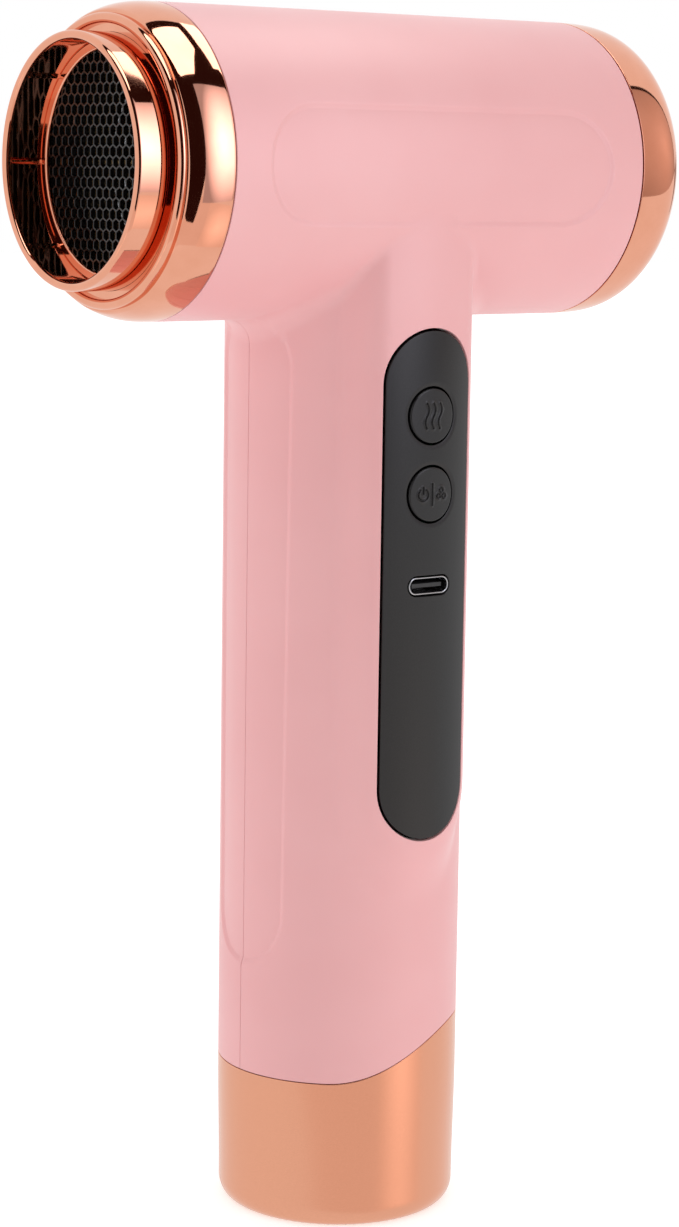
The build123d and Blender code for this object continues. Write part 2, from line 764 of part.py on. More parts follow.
with BuildPart() as motor_can:
    with BuildSketch(across_barrel(motor_y[0])):
        Circle(motor_r)
    extrude(amount=motor_y[1] - motor_y[0])
    with BuildSketch(across_barrel(motor_y[0])):
        Circle(motor_r - can_wall)
    extrude(amount=motor_y[1] - motor_y[0] - can_wall, mode=Mode.SUBTRACT)
    with BuildSketch(across_barrel(motor_y[1] - can_wall)):
        Circle(bush_r)
        with Locations((motor_screw_x, 0), (-motor_screw_x, 0)):
            Circle(motor_screw_r)
    extrude(amount=can_wall, mode=Mode.SUBTRACT)
save(motor_can, "motor_can")

with BuildPart() as motor_end_cap:
    with BuildSketch(across_barrel(motor_end_y)):
        Circle(motor_r)
        Circle(bush_r, mode=Mode.SUBTRACT)
    extrude(amount=motor_y[0] - motor_end_y)
save(motor_end_cap, "motor_end_cap")

for name, y0 in (("front_bush", motor_end_y), ("rear_bush", motor_y[1] - can_wall)):
    save(barrel_tube(bush_r, shaft_r + bush_clearance, y0, y0 + bush_len), name)

with BuildPart() as motor_magnets:
    with BuildSketch(across_barrel(armature_y[0])):
        Circle(motor_r - can_wall)
        Circle(motor_r - can_wall - magnet_t, mode=Mode.SUBTRACT)
        Rectangle(magnet_split, 2 * motor_r, mode=Mode.SUBTRACT)
    extrude(amount=armature_y[1] - armature_y[0])
save(motor_magnets, "motor_magnets")

with BuildPart() as armature:
    with BuildSketch(across_barrel(armature_y[0])):
        Circle(armature_r)
        with PolarLocations(armature_r - armature_slot_in, armature_poles):
            Circle(armature_slot_r, mode=Mode.SUBTRACT)
            with Locations((armature_slot_in, 0)):
                Rectangle(2 * armature_slot_in, armature_mouth, mode=Mode.SUBTRACT)
        Circle(shaft_r, mode=Mode.SUBTRACT)
    extrude(amount=armature_y[1] - armature_y[0])
save(armature, "motor_armature")

commutator_y = (motor_end_y + bush_len + brush_setback, armature_y[0])
save(barrel_tube(commutator_r, shaft_r, *commutator_y), "motor_commutator")

brush_mid_r = commutator_r + brush_play + brush_size[1] / 2
with BuildPart() as brushes:
    with BuildSketch(across_barrel(commutator_y[0] + brush_setback)):
        with Locations((0, brush_mid_r), (0, -brush_mid_r)):
            Rectangle(brush_size[0], brush_size[1])
    extrude(amount=brush_size[2])
save(brushes, "motor_brushes")

shaft_end_y = impeller_y[1] - 1.0
save(barrel_tube(shaft_r, 0, motor_end_y - shaft_stub, shaft_end_y), "motor_shaft")

with BuildPart() as motor_screws:
    with BuildSketch(across_barrel(motor_y[1] + hub_wall)):
        with Locations((motor_screw_x, 0), (-motor_screw_x, 0)):
            Circle(motor_head_r)
    extrude(amount=motor_head_t)
    with BuildSketch(across_barrel(motor_y[1] - can_wall)):
        with Locations((motor_screw_x, 0), (-motor_screw_x, 0)):
            Circle(motor_screw_r)
    extrude(amount=can_wall + hub_wall)
save(motor_screws, "motor_screws")

with BuildPart() as blade:
    for span, half_chord, pitch in (blade_root, blade_tip):
        section = Plane(origin=(0, sum(impeller_y) / 2, axis_h + span), x_dir=(0, 1, 0),
                        z_dir=(0, 0, 1))
        with BuildSketch(section.rotated((0, 0, pitch))):
            Ellipse(half_chord, blade_t / 2)
    loft()
with BuildPart() as impeller:
    with BuildSketch(across_barrel(impeller_y[0])):
        Circle(impeller_hub_r)
    extrude(amount=impeller_y[1] - impeller_y[0])
    fillet(impeller.faces().sort_by(Axis.Y)[-1].edges(), radius=impeller_nose_r)
    for turn in range(blade_count):
        add(blade.part.rotate(barrel_axis, 360 * turn / blade_count))
    with BuildSketch(across_barrel(impeller_y[0])):
        Circle(blade_tip_r)
    extrude(amount=impeller_y[1] - impeller_y[0], mode=Mode.INTERSECT)
    with BuildSketch(across_barrel(impeller_y[0])):
        Circle(impeller_hub_r - impeller_wall)
        Circle(impeller_core_r, mode=Mode.SUBTRACT)
    extrude(amount=impeller_hollow, mode=Mode.SUBTRACT)
    with BuildSketch(across_barrel(impeller_y[0])):
        Circle(shaft_r)
    extrude(amount=shaft_end_y - impeller_y[0], mode=Mode.SUBTRACT)
save(impeller, "fan_impeller")

# --- heater -----------------------------------------------------------------------------
save(barrel_tube(heater_sleeve_r, heater_sleeve_r - heater_sleeve_t, *heater_y), "heater_sleeve")

coil_y = [coil_first_y + coil_pitch * turn for turn in range(coil_turns)]
with BuildPart() as heating_coil:
    for y in coil_y:
        with BuildSketch(barrel_side):
            with Locations((y, coil_r)):
                Circle(coil_wire_r)
        revolve(axis=barrel_axis)
save(heating_coil, "heating_coil")

with BuildPart() as coil_slots:
    for y in coil_y:
        with BuildSketch(barrel_side):
            with Locations((y, coil_r)):
                Circle(coil_slot_r)
        revolve(axis=barrel_axis)

mica_mid = sum(mica_y) / 2
for name, is_upright in (("upright_mica_plate", True), ("level_mica_plate", False)):
    with BuildPart() as plate:
        size = (mica_t, 2 * mica_r) if is_upright else (2 * mica_r, mica_t)
        with BuildSketch(across_barrel(mica_y[0])):
            Rectangle(*size)
        extrude(amount=mica_y[1] - mica_y[0])
        # each plate is slotted for half its length, so that the two slide together
        slot_from = mica_y[0] if is_upright else mica_mid
        with BuildSketch(across_barrel(slot_from)):
            Rectangle(mica_t, mica_t)
        extrude(amount=mica_mid - mica_y[0], mode=Mode.SUBTRACT)
        add(coil_slots.part, mode=Mode.SUBTRACT)
    save(plate, name)

with BuildPart() as thermal_cutoff:
    with BuildSketch(across_barrel(cutoff_y)):
        with Locations(cutoff_at):
            RectangleRounded(cutoff_size[0], cutoff_size[1], cutoff_corner_r)
    extrude(amount=cutoff_size[2])
save(thermal_cutoff, "thermal_cutoff")

# --- outlet: collar, sleeve, retaining ring and grille ----------------------------------
with BuildPart() as collar:
    with BuildSketch(barrel_side):
        with BuildLine():
            dome = TangentArc((front_seam_y, barrel_r), (collar_end_y, collar_end_r),
                              tangent=(-1, 0.0))
            Polyline(
                dome @ 1, (collar_end_y, bead_r), (bead_end_y, bead_r), (bead_end_y, bead_in_r),
                (groove_y, bead_in_r), (groove_y, shoulder_r), (seat_y, shoulder_r), (seat_y, seat_r),
                (seat_back_y, seat_r), (seat_back_y, spigot_in_r),
                (front_seam_y + spigot_len, spigot_in_r), (front_seam_y + spigot_len, spigot_r),
                (front_seam_y, spigot_r), dome @ 0)
        make_face()
    revolve(axis=barrel_axis)
    bead = collar.edges().filter_by_position(Axis.Y, bead_end_y - 0.01, bead_end_y + 0.01)
    fillet(bead, radius=bead_round)
    rim = collar.edges().filter_by_position(Axis.Y, collar_end_y - 0.01, collar_end_y + 0.01)
    fillet(rim.sort_by(lambda e: e.length)[-1], radius=collar_round)
save(collar, "outlet_collar")

with BuildPart() as sleeve:
    with BuildSketch(barrel_side):
        with BuildLine():
            Polyline(
                (rim_y, lip_in_r), (rim_y, sleeve_r), (sleeve_end_y, sleeve_r),
                (sleeve_end_y, shoulder_r), (seat_y, shoulder_r),
                (seat_y, seat_r - seat_play), (seat_back_y, seat_r - seat_play),
                (seat_back_y, ring_in_r), (grille_y[1], ring_in_r), (grille_y[1], sleeve_in_r),
                (rim_y + rim_t, sleeve_in_r), (rim_y + rim_t, lip_in_r), close=True)
        make_face()
    revolve(axis=barrel_axis)
    lip = sleeve.edges().filter_by_position(Axis.Y, rim_y - 0.01, rim_y + 0.01)
    fillet(lip, radius=lip_round)
    # ribs along the inside of the mouth
    with BuildSketch(across_barrel(rim_y + rim_t)):
        with PolarLocations(sleeve_in_r - rib_h / 2 + 0.1, rib_count):
            Rectangle(rib_h + 0.2, rib_w)
    extrude(amount=ring_y - rim_y - rim_t)
save(sleeve, "outlet_sleeve")

save(barrel_tube(sleeve_in_r, ring_in_r, ring_y, ring_y + ring_t), "grille_ring")

with BuildPart() as grille:
    with BuildSketch(across_barrel(grille_y[0])):
        Circle(sleeve_in_r)
        rows = int(2 * ring_in_r / grille_pitch / (sqrt(3) / 2)) + 2
        spots = HexLocations(grille_pitch / 2, rows, rows)
        inside = [p for p in spots.local_locations if p.position.length < ring_in_r]
        with Locations(*inside):
            RegularPolygon(grille_pitch / 2 - grille_web / 2, 6, major_radius=False,
                           mode=Mode.SUBTRACT)
    extrude(amount=grille_t)
save(grille, "outlet_grille")
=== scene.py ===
import json
from math import atan2, ceil, cos, hypot, pi, radians, sin, tau

import bpy
import numpy as np
from mathutils import Matrix, Vector
from mathutils.geometry import delaunay_2d_cdt


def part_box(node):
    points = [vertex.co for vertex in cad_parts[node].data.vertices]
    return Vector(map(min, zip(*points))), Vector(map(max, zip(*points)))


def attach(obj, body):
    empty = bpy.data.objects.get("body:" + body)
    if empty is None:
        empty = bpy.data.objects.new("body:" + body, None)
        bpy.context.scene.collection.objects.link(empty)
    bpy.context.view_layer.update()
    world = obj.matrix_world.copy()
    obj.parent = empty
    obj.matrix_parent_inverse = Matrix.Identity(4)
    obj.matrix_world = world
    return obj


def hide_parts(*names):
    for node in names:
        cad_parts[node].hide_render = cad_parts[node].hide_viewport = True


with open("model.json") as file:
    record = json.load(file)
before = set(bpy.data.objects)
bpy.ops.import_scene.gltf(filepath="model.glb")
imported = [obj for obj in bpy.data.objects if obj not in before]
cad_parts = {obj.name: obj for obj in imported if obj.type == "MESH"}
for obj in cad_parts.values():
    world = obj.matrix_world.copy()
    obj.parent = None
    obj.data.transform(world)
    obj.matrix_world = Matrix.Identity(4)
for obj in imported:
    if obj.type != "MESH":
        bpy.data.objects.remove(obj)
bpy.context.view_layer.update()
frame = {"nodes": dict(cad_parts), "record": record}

# Everything below is drawn in millimetres and turned to metres when a mesh is made.
mm = 0.001
insideOutline = 1  # what delaunay_2d_cdt keeps: the faces inside the outer ring


def boxMm(node):
    low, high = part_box(node)
    return low / mm, high / mm


# ---- helpers for shapes

def smoothStep(start, end, value):
    t = np.clip((value - start) / (end - start), 0, 1)
    return t * t * (3 - 2 * t)


def stadiumDistance(across, along, low, high, radius):
    # how far a point is outside a round-ended slot; negative inside it
    past = np.maximum(np.maximum(low + radius - along, along - high + radius), 0)
    return np.hypot(across, past) - radius


def ringPoints(radius, count, centre=(0, 0)):
    return [(centre[0] + radius * cos(tau * i / count), centre[1] + radius * sin(tau * i / count))
            for i in range(count)]


def stadiumRing(low, high, radius, spacing, grow=0.0):
    # a closed ring of (across, along) points; grown rings keep the same stations
    straight = max(1, round((high - low - 2 * radius) / spacing))
    bend = max(8, round(pi * radius / spacing))
    centres = (high - radius, low + radius)
    ring = []
    for end, start in ((0, 0.0), (1, pi)):
        for i in range(bend):
            a = start + pi * i / bend
            ring.append(((radius + grow) * cos(a), centres[end] + (radius + grow) * sin(a)))
        side = (-1 if end == 0 else 1) * (radius + grow)
        for i in range(straight):
            t = i / straight
            ring.append((side, centres[end] * (1 - t) + centres[1 - end] * t))
    return ring


def insideRing(points, ring):
    # which points lie inside a closed ring, by counting the sides that each one crosses
    inside = np.zeros(len(points), bool)
    for (x0, y0), (x1, y1) in zip(ring, ring[1:] + ring[:1]):
        if y0 != y1:
            spans = (y0 > points[:, 1]) != (y1 > points[:, 1])
            inside ^= spans & (points[:, 0] < (x1 - x0) * (points[:, 1] - y0) / (y1 - y0) + x0)
    return inside


def triangulate(outline, holes, inner):
    # a flat sheet of triangles with an outline, holes and chosen points inside it
    coords, edges = [], []
    for ring in [outline] + holes:
        first = len(coords)
        coords += ring
        edges += [(first + i, first + (i + 1) % len(ring)) for i in range(len(ring))]
    coords += inner
    found = delaunay_2d_cdt([Vector(c) for c in coords], edges, [], insideOutline, 1e-5)
    flat = np.array([tuple(v) for v in found[0]])
    faces = np.array([tuple(f) for f in found[2]])
    middles = flat[faces].mean(axis=1)
    gone = np.zeros(len(faces), bool)
    for ring in holes:
        corner = np.array(ring)
        near = np.where(((middles > corner.min(0)) & (middles < corner.max(0))).all(1))[0]
        gone[near] |= insideRing(middles[near], ring)
    faces = faces[~gone]
    used, packed = np.unique(faces, return_inverse=True)
    return flat[used], [tuple(f) for f in packed.reshape(faces.shape).tolist()]


def weld(points, faces, reach):
    # joins points of neighbouring sheets that lie on each other
    keys, place, order = {}, [], []
    for i, p in enumerate(np.round(points / reach).astype(int)):
        cell = tuple(p)
        near = [keys[c] for c in ((cell[0] + a, cell[1] + b, cell[2] + c)
                for a in (0, -1, 1) for b in (0, -1, 1) for c in (0, -1, 1)) if c in keys]
        if near:
            place.append(near[0])
        else:
            keys[cell] = len(order)
            place.append(len(order))
            order.append(i)
    joined = []
    for face in faces:
        ids = [place[i] for i in face]
        ids = [v for i, v in enumerate(ids) if v != ids[i - 1]]
        if len(set(ids)) > 2:
            joined.append(tuple(ids))
    return points[order], joined


def closeSheet(points, normals, faces, depth, edgeR, steps=3):
    # thickens a sheet inward, with a rounded edge all round it and round each hole
    count = {}
    for face in faces:
        for i in range(len(face)):
            a, b = face[i], face[(i + 1) % len(face)]
            count[(a, b)] = count.get((a, b), 0) + 1
    rim = [(a, b) for (a, b) in count if (b, a) not in count]
    out = {}
    for a, b in rim:
        side = np.cross(points[b] - points[a], normals[a] + normals[b])
        side /= np.linalg.norm(side)
        out.setdefault(a, []).append(side)
        out.setdefault(b, []).append(side)
    ids = sorted(out)
    lean = []
    for i in ids:
        sides = out[i]
        both = sides[0] + sides[-1]
        both = both / max(1 + float(np.dot(sides[0], sides[-1])), 0.35)
        lean.append(both - normals[i] * float(np.dot(both, normals[i])))
    lean = np.array(lean)
    base, up = points[ids], normals[ids]
    layers, layerNormals = [points], [normals]
    rings = [{v: v for v in ids}]
    total = len(points)

    def addRing(place, direction):
        nonlocal total
        layers.append(place)
        layerNormals.append(direction)
        rings.append({v: total + k for k, v in enumerate(ids)})
        total += len(ids)

    for k in range(1, steps + 1):
        a = pi / 2 * k / steps
        addRing(base + lean * edgeR * sin(a) - up * edgeR * (1 - cos(a)), up * cos(a) + lean * sin(a))
    addRing(base + lean * edgeR - up * depth, lean - up * 0.3)
    innerStart = total
    layers.append(points - normals * depth)
    layerNormals.append(-normals)
    rings.append({v: innerStart + v for v in ids})
    closed = list(faces)
    for near, far in zip(rings, rings[1:]):
        closed += [(near[b], near[a], far[a], far[b]) for a, b in rim]
    closed += [tuple(innerStart + i for i in reversed(face)) for face in faces]
    return np.vstack(layers), np.vstack(layerNormals), closed


satin = []  # pieces whose surface isn't a mirror; the lamps are for these


def makePiece(name, points, faces, slot, body, stands, normals=None, sharp=35):
    # one mesh object that rides on a body and stands for CAD nodes
    mesh = bpy.data.meshes.new(name)
    mesh.from_pydata([tuple(p) for p in np.asarray(points) * mm], [], faces)
    mesh.validate()
    mesh.polygons.foreach_set("use_smooth", [True] * len(mesh.polygons))
    if normals is None:
        mesh.set_sharp_from_angle(angle=radians(sharp))
    else:
        unit = normals / np.linalg.norm(normals, axis=1)[:, None]
        mesh.normals_split_custom_set_from_vertices([tuple(n) for n in unit])
    mesh.materials.append(looks[slot])
    piece = bpy.data.objects.new(name, mesh)
    bpy.context.scene.collection.objects.link(piece)
    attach(piece, body)
    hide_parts(*stands)
    if slot != "rose_gold_chrome":
        satin.append(piece)
    return piece


def arcSpan(centre, radius, start, end, steps=8):
    # (along, radius) points on an arc, angles in degrees from the barrel's axis
    return [(centre[0] + radius * cos(radians(start + (end - start) * i / steps)),
             centre[1] + radius * sin(radians(start + (end - start) * i / steps)))
            for i in range(steps + 1)]


def withSupports(profile, reach=0.12):
    # a point close to each end of a long straight run keeps reflections flat along it
    points = []
    for i, here in enumerate(profile):
        after = profile[(i + 1) % len(profile)]
        points.append(here)
        run = hypot(after[0] - here[0], after[1] - here[1])
        if run > 4 * reach:
            for t in (reach / run, 0.5, 1 - reach / run):
                points.append((here[0] + (after[0] - here[0]) * t, here[1] + (after[1] - here[1]) * t))
    return points


def lathe(profile, stations, reshape=None):
    # turns a closed (along, radius) profile about the barrel's axis
    points, faces = [], []
    for a in stations:
        for along, radius in profile:
            r = reshape(along, radius, a) if reshape else radius
            points.append((r * cos(a), along, axisH + r * sin(a)))
    n, m = len(profile), len(stations)
    for i in range(m):
        for j in range(n):
            k, l = (i + 1) % m, (j + 1) % n
            faces.append((i * n + j, k * n + j, k * n + l, i * n + l))
    return np.array(points), faces


# ---- sizes shared by several pieces, read from the frame

collarLow, collarHigh = boxMm("outlet_collar")
axisH = (collarLow.z + collarHigh.z) / 2
barrelR = collarHigh.x
handleR = boxMm("bottom_cap")[1].x
rimY = boxMm("outlet_sleeve")[0].y
crownY = boxMm("rear_cap")[1].y
print("frame read: axis height", round(axisH, 2), "handle", round(handleR, 2), "barrel", round(barrelR, 2))

panel = {
    "radius": 25.5,        # its face is part of a cylinder about the handle
    "halfWidth": 9.65,     # measured along the arc
    "low": 72.6,
    "high": 163.9,
    "gap": 0.22,           # between the panel and the housing
    "thickness": 1.8,
    "edge": 0.3,
    "dishDepth": 0.2,      # soft dish round each button
    "dishWidth": 0.8,
}
button = {
    "radius": 4.85,
    "gap": 0.3,
    "proud": 0.1,
    "edge": 0.35,
    "thickness": 1.6,
    "strokeHalf": 0.17,     # engraved signs: half width, depth, and the raised lip beside the stroke
    "strokeDepth": 0.22,
    "strokeLip": 0.06,
    "heights": {"heat": 148.8, "power": 134.9},
}
socket = {
    "height": 118.6,
    "width": 8.94,
    "tall": 3.16,
    "wall": 0.3,
    "gap": 0.3,
    "face": 25.12,         # its lip, this far from the handle's axis
    "back": 17.8,
}

foot = {
    "flatR": 19.5,
    "sideR": 22.0,
    "turnHigh": 3.6,       # height of the rounded lower edge
    "taperEnd": 26,        # the side has reached the handle's radius here
    "seamLow": 27.3,
    "seamRise": 8.8,
    "wall": 1.8,
    "edge": 0.12,
    "screwHoleR": 2.5,
    "screwY": 12.0,
}

# ---- colours and materials


def linear(hexColour):
    channels = [int(hexColour[i:i + 2], 16) / 255 for i in (1, 3, 5)]
    return [c / 12.92 if c <= 0.04045 else ((c + 0.055) / 1.055) ** 2.4 for c in channels] + [1]


def addNode(tree, kind, settings=None, links=None):
    node = tree.nodes.new(kind)
    for key, value in (settings or {}).items():
        if key in node.inputs:
            node.inputs[key].default_value = value
        else:
            setattr(node, key, value)
    for key, source in (links or {}).items():
        tree.links.new(source, node.inputs[key])
    return node


def perMetre(sizeMm):
    # pattern scale for a grain or pitch given in millimetres
    return 1 / (sizeMm * mm)


metal, plastic = {"Metallic": 1.0}, {"IOR": 1.53}

# Each finish: two close colours spread by a grain, roughness that wanders with a slower cloud,
# and relief layers of (size, depth, strength), all in millimetres.
finishes = {
    # ABS, injection moulded and satin lacquered: an even soft pink with a faint orange-peel skin
    "housing_plastic": {
        "name": "pinkSatinLacqueredAbs", "colours": ("#DFA2A3", "#E3A9AA"), "grain": 34, "cloud": 20,
        "roughness": (0.42, 0.50), "relief": [(3.2, 0.02, 0.25), (0.55, 0.012, 0.35)],  # peel drawn coarser
        "settings": {"IOR": 1.53, "Sheen Weight": 0.2, "Sheen Roughness": 0.35, "Subsurface Weight": 0.08,
                     "Subsurface Radius": (1.0, 0.45, 0.4), "Subsurface Scale": 1.5 * mm}},
    # plated ABS, vacuum metallised and polished: mirror bright, with slow waves from the moulding
    "rose_gold_chrome": {
        "name": "polishedRoseGoldPlate", "colours": ("#E5A083", "#EAA68A"), "grain": 4.5, "cloud": 6,
        "roughness": (0.035, 0.075), "relief": [(13, 0.09, 0.5), (0.5, 0.0012, 0.3)], "settings": metal},
    # the same plating over a bead-blasted tool: broad soft highlights with a fine sparkle
    "rose_gold_satin": {
        "name": "satinRoseGoldPlate", "colours": ("#E09E80", "#E4A385"), "grain": 0.25, "cloud": 18,
        "roughness": (0.21, 0.25), "relief": [(0.25, 0.004, 0.25)],   # real grit is 0.1 mm, drawn coarser
        "settings": metal},
    # ABS from a spark-eroded tool: a dry charcoal face with tiny soft glints
    "panel_plastic": {
        "name": "blackSparkTexturedAbs", "colours": ("#151415", "#1B1A1B"), "grain": 0.3, "cloud": 12,
        "roughness": (0.30, 0.36), "relief": [(0.3, 0.012, 0.4)],
        "settings": {"IOR": 1.53, "Specular IOR Level": 0.4}},
    # stove-enamelled steel honeycomb: deep black strands whose crests glint
    "grille_black": {
        "name": "blackEnamelledHoneycomb", "colours": ("#070707", "#121112"), "grain": 0.7, "cloud": 3,
        "roughness": (0.12, 0.22), "relief": [(0.7, 0.02, 0.4)],
        "settings": {"IOR": 1.5}},
    # PVC shrink sleeve: slick blue with faint lengthwise pulls
    "cell_wrap": {
        "name": "bluePvcShrinkSleeve", "colours": ("#2F6FA8", "#3A80BC"), "grain": 2.2, "cloud": 8,
        "stretch": (1, 1, 0.08), "roughness": (0.18, 0.3), "relief": [(2.2, 0.02, 0.5)],
        "settings": {"IOR": 1.54}},
    # ABS straight from the tool: dull black with flow marks
    "inner_plastic": {
        "name": "blackUnfinishedAbs", "colours": ("#262628", "#303032"), "grain": 1.4, "cloud": 6,
        "roughness": (0.45, 0.6), "relief": [(1.4, 0.03, 0.5)], "settings": plastic},
    # rolled nickel strip: pale metal with rolling lines
    "nickel": {
        "name": "rolledNickelStrip", "colours": ("#B5B2A8", "#C6C3BA"), "grain": 0.5, "cloud": 4,
        "stretch": (1, 0.06, 1), "roughness": (0.22, 0.36), "relief": [(0.5, 0.006, 0.5)],
        "settings": metal},
    # solder mask over glass cloth: green gloss with a weave under it
    "circuit_board": {
        "name": "greenSolderMask", "colours": ("#1B5A36", "#246A42"), "grain": 0.9, "cloud": 5,
        "roughness": (0.2, 0.34), "relief": [(0.9, 0.012, 0.5)], "settings": {"IOR": 1.5}},
    # bright drawn steel: cool metal with drawing lines
    "steel": {
        "name": "brightDrawnSteel", "colours": ("#A9AAAD", "#BDBEC1"), "grain": 0.6, "cloud": 4,
        "stretch": (1, 0.1, 1), "roughness": (0.16, 0.28), "relief": [(0.6, 0.005, 0.5)],
        "settings": metal},
    # turned brass: warm metal with tool rings
    "brass": {
        "name": "turnedBrass", "colours": ("#B8904A", "#C79F58"), "grain": 0.5, "cloud": 4,
        "stretch": (1, 2.5, 1), "roughness": (0.2, 0.34), "relief": [(0.5, 0.006, 0.5)],
        "settings": metal},
    # extruded PVC: soft red sheen
    "wire_insulation": {
        "name": "redExtrudedPvc", "colours": ("#A02822", "#B2332C"), "grain": 1.6, "cloud": 5,
        "stretch": (1, 1, 0.3), "roughness": (0.3, 0.42), "relief": [(1.6, 0.01, 0.5)],
        "settings": {"IOR": 1.54}},
    # pressed mica sheet: tan flakes with a dull glitter
    "mica": {
        "name": "pressedMicaSheet", "colours": ("#9E8150", "#C0A270"), "grain": 1.1, "cloud": 5,
        "roughness": (0.3, 0.55), "relief": [(1.1, 0.02, 0.5)], "settings": {"IOR": 1.58}},
    # sintered ferrite: charcoal, slightly gritty
    "ferrite": {
        "name": "sinteredFerrite", "colours": ("#26262A", "#323236"), "grain": 0.4, "cloud": 4,
        "roughness": (0.5, 0.68), "relief": [(0.4, 0.02, 0.5)], "settings": {"IOR": 2.0}},
    # stamped stack: fine bands across the axis
    "laminated_steel": {
        "name": "stampedSteelStack", "colours": ("#6E7074", "#85878B"), "grain": 0.5, "cloud": 4,
        "stretch": (0.1, 1, 0.1), "roughness": (0.3, 0.45), "relief": [(0.5, 0.02, 0.5)],
        "settings": metal},
    # glass-filled nylon: black with a dry fibrous bloom
    "black_nylon": {
        "name": "glassFilledNylon", "colours": ("#17171A", "#222226"), "grain": 0.7, "cloud": 5,
        "stretch": (1, 0.4, 1), "roughness": (0.4, 0.58), "relief": [(0.7, 0.02, 0.5)],
        "settings": plastic},
    # heavy matt paper under the object: white with a faint tooth
    "paper": {
        "name": "whiteStudioPaper", "colours": ("#F6F5F4", "#FBFAFA"), "grain": 3, "cloud": 40,
        "roughness": (0.85, 0.95), "relief": [(0.8, 0.02, 0.3)],
        "settings": {"IOR": 1.45, "Emission Color": (1, 1, 1, 1), "Emission Strength": 0.5}},
}


def makeLook(finish):
    look = bpy.data.materials.new(finish["name"])
    look.use_nodes = True
    tree = look.node_tree
    tree.nodes.clear()
    shader = addNode(tree, "ShaderNodeBsdfPrincipled", finish["settings"])
    addNode(tree, "ShaderNodeOutputMaterial", None, {"Surface": shader.outputs["BSDF"]})
    place = addNode(tree, "ShaderNodeTexCoord").outputs["Object"]
    place = addNode(tree, "ShaderNodeMapping", {"Scale": finish.get("stretch", (1, 1, 1))},
                    {"Vector": place}).outputs["Vector"]
    grain = addNode(tree, "ShaderNodeTexNoise", {"Scale": perMetre(finish["grain"]), "Detail": 3.0},
                    {"Vector": place})
    ramp = addNode(tree, "ShaderNodeValToRGB", None, {"Fac": grain.outputs["Fac"]})
    for stop, position, colour in zip(ramp.color_ramp.elements, (0.3, 0.7), finish["colours"]):
        stop.position, stop.color = position, linear(colour)
    tree.links.new(ramp.outputs["Color"], shader.inputs["Base Color"])
    cloud = addNode(tree, "ShaderNodeTexNoise", {"Scale": perMetre(finish["cloud"]), "Detail": 3.0},
                    {"Vector": place})
    low, high = finish["roughness"]
    spread = addNode(tree, "ShaderNodeMapRange", {"To Min": low, "To Max": high},
                     {"Value": cloud.outputs["Fac"]})
    tree.links.new(spread.outputs["Result"], shader.inputs["Roughness"])
    under = {}
    for size, depth, strength in finish["relief"]:
        height = addNode(tree, "ShaderNodeTexNoise", {"Scale": perMetre(size), "Detail": 2.0},
                         {"Vector": place})
        bump = addNode(tree, "ShaderNodeBump", {"Strength": strength, "Distance": depth * mm},
                       {"Height": height.outputs["Fac"], **under})
        under = {"Normal": bump.outputs["Normal"]}
    tree.links.new(bump.outputs["Normal"], shader.inputs["Normal"])
    return look


looks = {slot: makeLook(finish) for slot, finish in finishes.items()}

for part in frame["record"]["subparts"]:
    node = frame["nodes"][part["node"]]
    node.data.materials.clear()
    node.data.materials.append(looks[part["material_slot"]])
print("materials made:", len(looks))

# ---- housing: barrel, handle, neck and the raised land round the panel, in two halves

housing = {
    "frontY": -43.9,
    "rearY": 46.7,
    "wall": 1.8,
    "neckR": 4.5,           # rolling-ball radius where handle and barrel meet
    "neckZ": 172.0,         # where the handle has its last plain section
    "hasLand": True,        # only the right half has the land round the panel
    "landRise": 3.2,        # the land stands this far over the handle
    "landFlat": -0.7,       # the flank starts just inside the panel's edge
    "landFoot": 9.0,        # and has run out here
    "landFall": 0.68,       # the lower flank is this much gentler
    "recessDepth": 0.5,
    "recessEdge": 0.55,
    "handleRecess": (48.0, 166.3, 9.8),      # from, to, half width
    "barrelRecess": (-36.6, 39.4, 10.3),
    "seamEdge": 0.14,       # rounding of the moulded edges
    "seamHalfGap": 0.035,
    "grid": 1.5,
}


def seamHeight(y):
    # the seam over the bottom cap: low in front, an S up to the rear
    return foot["seamLow"] + foot["seamRise"] * smoothStep(-15.0, 14.5, y)


def recessSpread(z):
    # the front recess is a little wider towards the neck
    low, high, _ = housing["handleRecess"]
    return 0.978 + 0.095 * (z - low) / (high - low)


def sinkBy(distance):
    # how deep the skin lies at a distance from a recess's outline
    edge = housing["recessEdge"]
    return housing["recessDepth"] * (1 - smoothStep(-edge, edge, distance))


def handleField(x, y, z):
    arc = panel["radius"] * np.arctan2(y, x)
    below = np.maximum(panel["low"] + panel["halfWidth"] - z, 0)
    reach = np.hypot(arc, below)
    out = reach - panel["halfWidth"]
    out = out * (1 - (1 - housing["landFall"]) * (below / np.maximum(reach, 1e-6)) ** 2)
    rise = housing["landRise"] * (1 - smoothStep(housing["landFlat"], housing["landFoot"], out))
    rise = rise * housing["hasLand"]
    low, high, half = housing["handleRecess"]
    front = handleR * np.arctan2(x, -y) / recessSpread(z)
    sunk = sinkBy(stadiumDistance(front, z, low, high, half))
    return np.hypot(x, y) - handleR - rise + sunk


def barrelField(x, y, z):
    arc = barrelR * np.arctan2(z - axisH, np.abs(x))
    low, high, half = housing["barrelRecess"]
    sunk = sinkBy(stadiumDistance(arc, y, low, high, half))
    return np.hypot(x, z - axisH) - barrelR + sunk


